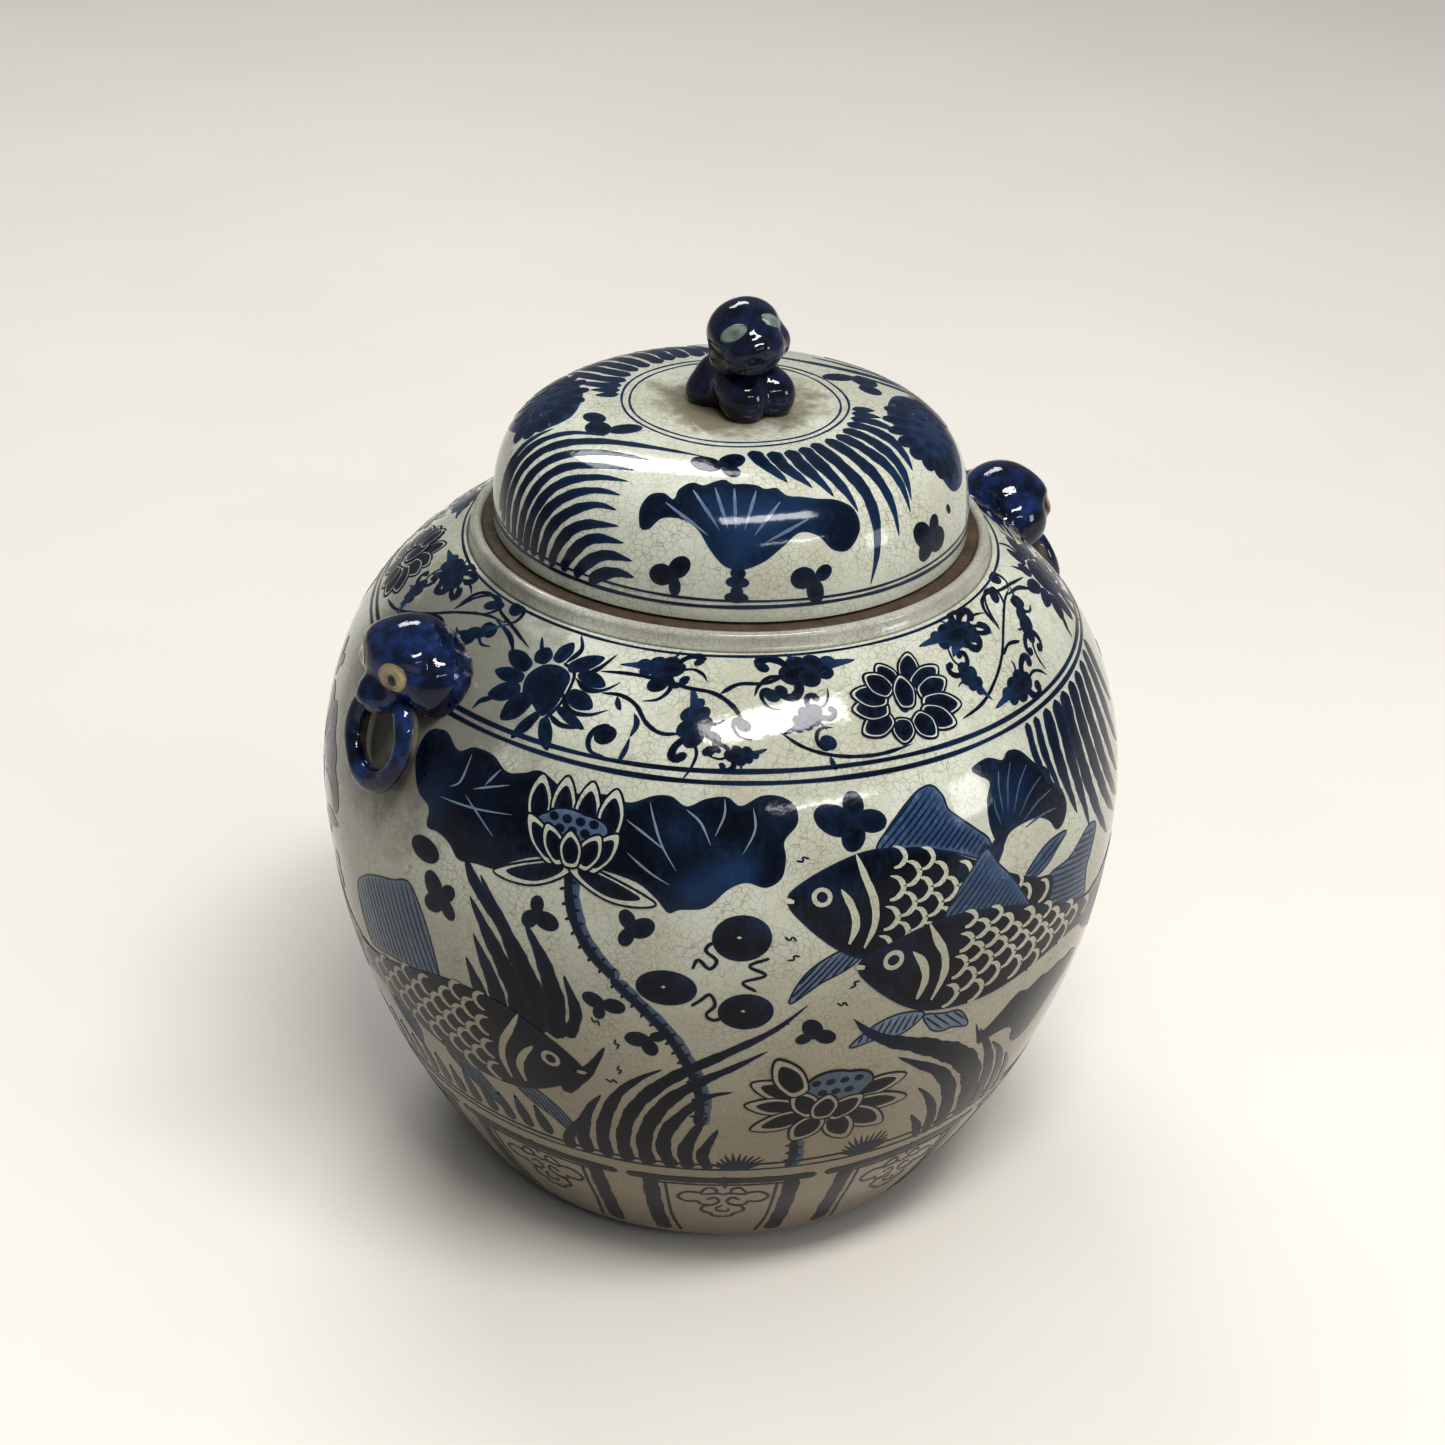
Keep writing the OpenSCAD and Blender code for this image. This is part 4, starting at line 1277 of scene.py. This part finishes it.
def paint_jar():
    """The pond twice round the belly, the vine three times round the shoulder, and the foot."""
    for azimuth in (0, 180):
        main_band(azimuth)
    shoulder = Brush("shoulder", JAR, "jar")
    for azimuth in (0, 120, 240):
        shoulder_band(azimuth, shoulder)
    for z, width in NECK_LINES:
        ring_line(shoulder.dark, JAR, width, z=min(z, COLLAR_Z - 0.4))
    shoulder_edge = JAR.height(SHOULDER_LINE_Z)
    for s in (shoulder_edge, shoulder_edge + SHOULDER_LINE_GAP):
        ring_line(shoulder.dark, JAR, SHOULDER_LINE_WIDTH, s=s)
    shoulder.finish()
    foot = Brush("foot", JAR, "jar")
    foot_band(foot)
    for z, width, thin in FOOT_LINES:
        ring_line(foot.dark, JAR, width, z=z, thin=thin)
    foot.finish()


def paint_lid():
    """Both halves of the lid, and the rings at its edge and round the lion."""
    brush = Brush("lid", LID, "lid")
    for turn in (0, 180):
        lid_half(brush, turn)
    for z, width in LID_EDGE_LINES:
        ring_line(brush.dark, LID, width, z=z, thin=0.1)
    for radius, width in LID_RING_LINES:
        ring_line(brush.dark, LID, width, s=float(np.interp(-radius, -LID.r, LID.s)), thin=0.25)
    brush.finish()


# ---------------------------------------------------------------- modelled clay: heads, eyes, rings, lion

def ball(points, centre, radii):
    """Signed distance, near enough, to an ellipsoid."""
    p = points - np.array(centre, float)
    radii = np.broadcast_to(np.array(radii, float), 3)
    near = np.linalg.norm(p / radii, axis=-1)
    slope = np.linalg.norm(p / radii ** 2, axis=-1) + 1e-9
    return near * (near - 1) / slope


def melt(a, b, soft):
    """Two forms joined with a soft crease."""
    overlap = np.maximum(soft - np.abs(a - b), 0) / soft
    return np.minimum(a, b) - overlap ** 2 * soft / 4


def carve(a, b, soft):
    """The first form with the second cut out of it, softly."""
    return -melt(-a, b, soft)


def melted(points, parts, soft):
    """Balls, each (centre, radii), joined with soft creases."""
    form = ball(points, *parts[0])
    for part in parts[1:]:
        form = melt(form, ball(points, *part), soft)
    return form


def reach(form, centre, ways, far=60.0):
    """How far each ray from centre runs before it leaves the form."""
    centre = np.array(centre, float)
    steps = np.linspace(0, far, 61)
    low, high = np.zeros(len(ways)), np.full(len(ways), far)
    open_ = np.ones(len(ways), bool)
    for a, b in zip(steps[:-1], steps[1:]):
        out = open_ & (form(centre + ways * b) > 0)
        low[out], high[out] = a, b
        open_ &= ~out
    for _ in range(14):
        middle = (low + high) / 2
        held = form(centre + ways * middle[:, None]) < 0
        low, high = np.where(held, middle, low), np.where(held, high, middle)
    return (low + high) / 2


def round_mesh(detail):
    """Directions and faces of an even triangulated sphere."""
    made = bmesh.new()
    bmesh.ops.create_icosphere(made, subdivisions=detail, radius=1.0)
    ways = np.array([v.co for v in made.verts])
    faces = [tuple(v.index for v in face.verts) for face in made.faces]
    made.free()
    return ways / np.linalg.norm(ways, axis=1, keepdims=True), faces


def eye_stain(share, angle, offset):
    """Brown at an eye's rim, and in a broken ring round its pupil."""
    edge = np.clip((share - 0.7) / 0.25, 0, 1) * (0.7 + 0.3 * np.sin(angle * 2 + 1))
    iris = np.exp(-((offset / 0.52 - 1) / 0.16) ** 2)
    return np.maximum(edge, 0.5 * iris * (0.5 + 0.5 * np.sin(angle * 3)))


class Clay:
    """A modelled form: a field in local mm, its heart, and the frame that it stands in."""

    def __init__(self, form, heart, origin=(0, 0, 0), turn=0.0):
        self.form, self.heart = form, np.array(heart, float)
        self.turn = Matrix.Rotation(math.radians(turn), 3, "Z")
        self.origin = np.array(origin, float)

    def out(self, points):
        """Local points to the row's frame, in millimetres."""
        return points @ np.array(self.turn).T + self.origin

    def body(self, name, body, replaces, thin, material, detail=6):
        """The form's skin as a piece, with thin(points) as how thin the glaze runs."""
        ways, faces = round_mesh(detail)
        points = self.heart + ways * reach(self.form, self.heart, ways)[:, None]
        shade = thin(points)
        add_piece(name, self.out(points), faces, body, [material],
                  replaces=replaces, attributes={"thin": shade})

    def pellets(self, name, body, replaces, places, lift, material, stare=1.0):
        """Domed caps laid on the form: (direction, width, height, lean) each, with a pupil."""
        points, faces, pupil, rim = [], [], [], []
        rings, spokes = 10, 36
        for way, width, height, lean in places:
            way = np.array(way, float) / np.linalg.norm(way)
            across = np.cross((0, 0, 1.0), way)
            across /= np.linalg.norm(across)
            up = np.cross(way, across)
            c, s = math.cos(math.radians(lean)), math.sin(math.radians(lean))
            across, up = across * c + up * s, up * c - across * s
            middle = reach(self.form, self.heart, way[None])[0]
            first = sum(len(p) for p in points)
            share = np.concatenate([[0], np.repeat(np.arange(1, rings + 1) / rings, spokes)])
            angle = np.concatenate([[0], np.tile(np.arange(spokes) * 2 * math.pi / spokes, rings)])
            stretch = 1 + 0.18 * np.cos(angle - 2.2) * share
            flat = (across * (share * width * stretch * np.cos(angle))[:, None]
                    + up * (share * height * stretch * np.sin(angle))[:, None])
            ways = way * middle + flat
            ways /= np.linalg.norm(ways, axis=1, keepdims=True)
            dome = lift * np.sqrt(np.clip(1 - share ** 2, 0, 1)) - 0.5 * (share > 0.99)
            points.append(self.heart + ways * (reach(self.form, self.heart, ways) + dome)[:, None])
            inner = points[-1] - ways * (dome + 1.2)[:, None]
            points.append(inner)
            count = len(share)
            skin = [(0, 1 + k, 1 + (k + 1) % spokes) for k in range(spokes)]
            for ring in range(rings - 1):
                for k in range(spokes):
                    a, b = 1 + ring * spokes + k, 1 + ring * spokes + (k + 1) % spokes
                    skin.append((a, a + spokes, b + spokes, b))
            last = 1 + (rings - 1) * spokes
            edge = [(last + k, last + k + count, last + (k + 1) % spokes + count, last + (k + 1) % spokes)
                    for k in range(spokes)]
            under = [tuple(i + count for i in reversed(face)) for face in skin]
            faces += [tuple(i + first for i in face) for face in skin + under + edge]
            offset = np.hypot(flat @ across, flat @ up) / min(width, height)
            dark = np.clip((0.33 - offset) * min(width, height) / 0.35 + 0.5, 0, 1)
            pupil.append(stare * np.concatenate([dark, dark]))
            stain = eye_stain(share, angle, offset)
            rim.append(np.concatenate([stain, stain]))
        add_piece(name, self.out(np.concatenate(points)), faces, body, [material],
                  replaces=replaces, attributes={"pupil": np.concatenate(pupil), "rim": np.concatenate(rim)})


HEAD_Z = 249.0
RING_Z, RING_SEAT = 222.5, 153.5    # the ring's middle: height, and distance from the axis
RING_REACH, RING_TUBE = 17.0, 4.5   # radius of its middle line, and of its clay
RING_LEAN = 20.0                    # degrees that it leans against the wall


def beast_form(points):
    """A beast's head on the shoulder: x out from the jar's axis, y sideways, z from head height."""
    form = melted(points, [((139, 0, 1.5), (17.5, 18.5, 16)), ((151.5, 0, -9), (10.5, 9, 7.8))], 3.5)
    for side in (-1, 1):
        form = melt(form, ball(points, (145, side * 8.5, 7), (7, 8.5, 5)), 5)
        form = carve(form, ball(points, (154, side * 18, 1.5), (7, 5, 7)), 3)
        form = melt(form, ball(points, (136, side * 13.5, -3), (13.5, 11, 13)), 1.8)
        form = melt(form, ball(points, (147.5, side * 10.5, 0), (6.5, 7.5, 6.5)), 2)
        form = carve(form, ball(points, (161.5, side * 3.5, -6), (1.5, 1.2, 1.0)), 1.2)
    form = carve(form, ball(points, (162.5, 0, -12), (8, 8, 0.9)), 1.6)
    wall = 0.8 * (np.hypot(points[:, 0], points[:, 1]) - jar_radius(points[:, 2] + HEAD_Z))
    rim = ball(points, (139, 0, -2), (21, 25, 20))
    form = melt(form, np.maximum(wall + 0.9, rim), 3.5)
    return np.maximum(form, -wall - 3.5)


def glaze_runs_thin(points):
    """Where the blue pulls away to a beige edge round the foot of a head."""
    wall = np.hypot(points[:, 0], points[:, 1]) - jar_radius(points[:, 2] + HEAD_Z)
    ragged = 0.8 * np.sin(points[:, 1] * 0.9) + 0.6 * np.sin(points[:, 2] * 1.7)
    return np.clip(0.4 - (wall + 0.6 * ragged) / 1.2, 0, 0.7)


def build_handle(side, turn):
    """A head with its eyes and its ring, on the side that turn in degrees puts it."""
    head = Clay(beast_form, (141, 0, -1), (0, 0, HEAD_Z), turn)
    head.body(side + "_head", "jar", [side + "_handle_head"], glaze_runs_thin, COBALT)
    eyes = [((13.5, s * 11.8, 2.4), 7.2, 6.2, s * 15) for s in (-1, 1)]
    head.pellets(side + "_eyes", "jar", [side + "_handle_eyes"], eyes, 0.45, EYE)
    build_ring(side, turn)


def build_ring(side, turn):
    """The ring through the jaws: blue on its face, cream and brown where the glaze missed."""
    around, tube = 96, 28
    lean = math.radians(90 - RING_LEAN)
    axis = np.array([math.sin(lean), 0, math.cos(lean)])
    down = np.array([math.cos(lean), 0, -math.sin(lean)])
    sideways = np.array([0, 1.0, 0])
    points, shade = [], []
    for i in range(around):
        a = 2 * math.pi * i / around
        spoke = down * math.cos(a) + sideways * math.sin(a)
        for k in range(tube):
            b = 2 * math.pi * k / tube
            thick = RING_TUBE * (1 + 0.05 * math.sin(3 * a + 1) + 0.03 * math.sin(5 * a + 2 * b))
            points.append(np.array([RING_SEAT, 0, RING_Z]) + spoke * (RING_REACH + thick * math.cos(b))
                          + axis * thick * math.sin(b) * 0.94)
            shade.append(0.1 - 1.3 * math.sin(b) + 0.2 * math.sin(4 * a) + 0.12 * math.sin(11 * a))
    points = np.array(points)
    over = np.hypot(points[:, 0], points[:, 1]) - jar_radius(points[:, 2])
    points[:, 0] += np.clip(0.4 - over, 0, 6)
    faces = [(i * tube + k, i * tube + (k + 1) % tube, (i + 1) % around * tube + (k + 1) % tube,
              (i + 1) % around * tube + k) for i in range(around) for k in range(tube)]
    ring = Clay(None, (0, 0, 0), turn=turn)
    add_piece(side + "_ring", ring.out(points), faces, "jar", [COBALT],
              replaces=[side + "_handle_ring"], attributes={"thin": np.clip(shade, 0, 1)})


def lion_trunk(points):
    """The seated body: chest and haunches, forelegs, hind legs and a stub of tail."""
    form = melted(points, [((0, -7, 9.5), (13.5, 11.5, 11.5)), ((0, 5.5, 7.5), (13.5, 11.5, 10.5)),
                           ((0, -3, 17), (8.5, 8.5, 8))], 5)
    for side in (-1, 1):
        form = melt(form, ball(points, (side * 6.5, -14.5, 7), (8.5, 9.5, 9.5)), 3.6)
        form = melt(form, ball(points, (side * 9.5, 6, 4), (7, 8.5, 6)), 3.5)
    form = melt(form, ball(points, (0, 15.5, 8.5), (3.2, 3.5, 6)), 4)
    return np.maximum(form, -points[:, 2] - 2.5)


LION_LEAN, LION_TURN = math.radians(19), math.radians(22)
LION_TILT = np.array(Matrix.Rotation(LION_LEAN, 3, "Y") @ Matrix.Rotation(LION_TURN, 3, "Z"))
LION_NECK = np.array([0, -9, 22.0])


def lion_head(points):
    """The head, turned to face forward about the neck before it is measured."""
    p = (points - LION_NECK) @ LION_TILT.T + LION_NECK
    form = melted(p, [((0, -10.5, 32.8), (13.8, 13.5, 11.5)), ((0, -19.5, 28), (12, 10.5, 9.5)),
                      ((0, -17, 34.5), (12, 9, 5)), ((0, -7, 19), (7, 7.5, 9))], 2.8)
    for side in (-1, 1):
        form = melt(form, ball(p, (side * 8.5, -12, 25.5), (7, 8.5, 7)), 3)
        form = carve(form, ball(p, (side * 9, -28, 38), (6, 5.5, 3)), 2.5)
        form = carve(form, ball(p, (side * 2.4, -30, 29), (1.0, 1.6, 0.9)), 1.0)
    form = melt(form, ball(p, (0, -27.5, 30.5), (5.5, 2.6, 3)), 2)
    form = carve(form, ball(p, (0, -30, 23.8), (9, 6, 0.7)), 1.4)
    return form


def build_lion():
    """The finial: trunk, head and eyes, standing on the middle of the lid."""
    top = (0, 0, LID_TOP)
    trunk = Clay(lion_trunk, (0, 0, 9), top)

    def worn_foot(points):
        away = points[:, 2] + 0.5 * np.sin(points[:, 0] * 0.8) + 0.4 * np.sin(points[:, 1] * 1.1)
        return np.clip(0.6 - away / 1.2, 0, 0.8)

    trunk.body("lion_trunk", "lid", ["finial_body"], worn_foot, DARK_COBALT)
    head = Clay(lion_head, (0, -12, 30), top)
    head.body("lion_head", "lid", ["finial_head"], lambda points: np.zeros(len(points)), DARK_COBALT)
    ways = [LION_TILT.T @ np.array([side * 8.8, -12, 9.3]) for side in (-1, 1)]
    eyes = [(ways[0], 6.0, 3.3, 35), (ways[1], 5.0, 3.2, -30)]
    head.pellets("lion_eyes", "lid", ["finial_eyes"], eyes, 0.2, LION_EYE, stare=0.3)


# ---------------------------------------------------------------- making the object

build_wall()
build_mouth()
build_lid()
paint_jar()
paint_lid()
build_handle("left", 180)
build_handle("right", 0)
build_lion()
for node in ("foot_ring", "lid_flange"):
    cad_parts[node].data.materials.clear()
    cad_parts[node].data.materials.append(BARE)


# ---------------------------------------------------------------- camera, floor and light

CAMERA_DISTANCE = 0.906     # from the jar's axis, along the floor
CAMERA_HEIGHT = 0.687
CAMERA_PITCH = 0.50732      # radians below level
CAMERA_ROLL = 0.03793


def add_camera():
    """The photo's view: from the painting's front meridian, looking down on the shoulder."""
    away = Vector((math.sin(FRONT), -math.cos(FRONT), 0))
    down = math.sin(CAMERA_PITCH)
    forward = -away * math.cos(CAMERA_PITCH) - Vector((0, 0, down))
    level = forward.cross(Vector((0, 0, 1))).normalized()
    upright = level.cross(forward)
    right = level * math.cos(CAMERA_ROLL) + upright * math.sin(CAMERA_ROLL)
    up = upright * math.cos(CAMERA_ROLL) - level * math.sin(CAMERA_ROLL)
    data = bpy.data.cameras.new("camera")
    data.lens, data.sensor_width = 64.0, 36.0
    camera = bpy.data.objects.new("camera", data)
    bpy.context.scene.collection.objects.link(camera)
    turned = Matrix((right, up, -forward)).transposed().to_4x4()
    spot = away * CAMERA_DISTANCE + Vector((0, 0, CAMERA_HEIGHT))
    camera.matrix_world = Matrix.Translation(spot) @ turned
    bpy.context.scene.camera = camera


def add_floor():
    """A plain pale floor."""
    side = 8.0
    corners = [(-side, -side, 0), (side, -side, 0), (side, side, 0), (-side, side, 0)]
    mesh = bpy.data.meshes.new("floor")
    mesh.from_pydata(corners, [], [(0, 1, 2, 3)])
    m = Material("floor", Roughness=0.6)
    m.colour(m.mix(m.noise(3, detail=3), linear(192, 188, 181), linear(202, 198, 191)))
    mesh.materials.append(m.material)
    floor = bpy.data.objects.new("floor", mesh)
    bpy.context.scene.collection.objects.link(floor)


def add_light(name, azimuth, elevation, distance, width, height, power, colour=(1, 1, 1)):
    """A soft panel that faces the jar, at an azimuth from the front meridian."""
    a, e = FRONT + math.radians(azimuth), math.radians(elevation)
    target = Vector((0, 0, 0.2))
    data = bpy.data.lights.new(name, "AREA")
    data.shape, data.size, data.size_y = "RECTANGLE", width, height
    data.energy, data.color = power, colour
    light = bpy.data.objects.new(name, data)
    bpy.context.scene.collection.objects.link(light)
    back = Vector((math.sin(a) * math.cos(e), -math.cos(a) * math.cos(e), math.sin(e)))
    light.location = target + back * distance
    light.rotation_euler = back.to_track_quat("Z", "Y").to_euler()


def add_ceiling():
    """The even light of a pale ceiling; it casts soft shadows and shows in no reflection."""
    data = bpy.data.lights.new("ceiling", "SUN")
    data.energy, data.angle = 1.35, math.radians(80)
    ceiling = bpy.data.objects.new("ceiling", data)
    ceiling.visible_glossy = False
    ceiling.rotation_euler = (math.radians(10), math.radians(8), 0)
    bpy.context.scene.collection.objects.link(ceiling)


def add_world():
    """An even, faintly blue surrounding."""
    world = bpy.data.worlds.new("studio")
    world.use_nodes = True
    background = world.node_tree.nodes["Background"]
    background.inputs["Color"].default_value = (0.9, 0.94, 1.0, 1)
    background.inputs["Strength"].default_value = 0.27
    bpy.context.scene.world = world


add_camera()
add_floor()
add_world()
bpy.context.scene.view_settings.view_transform = "Standard"
bpy.context.scene.view_settings.gamma = 0.86
add_light("long_strip", 28, 65, 2.2, 1.3, 0.34, 50, (1.0, 0.99, 0.97))
add_light("low_strip", 30, 31, 2.4, 1.2, 0.06, 8)
add_light("side_window", 72, 12, 2.2, 0.45, 0.6, 9, (0.97, 0.98, 1.0))
add_light("back_window", -160, 48, 2.4, 1.2, 0.5, 24)
add_ceiling()
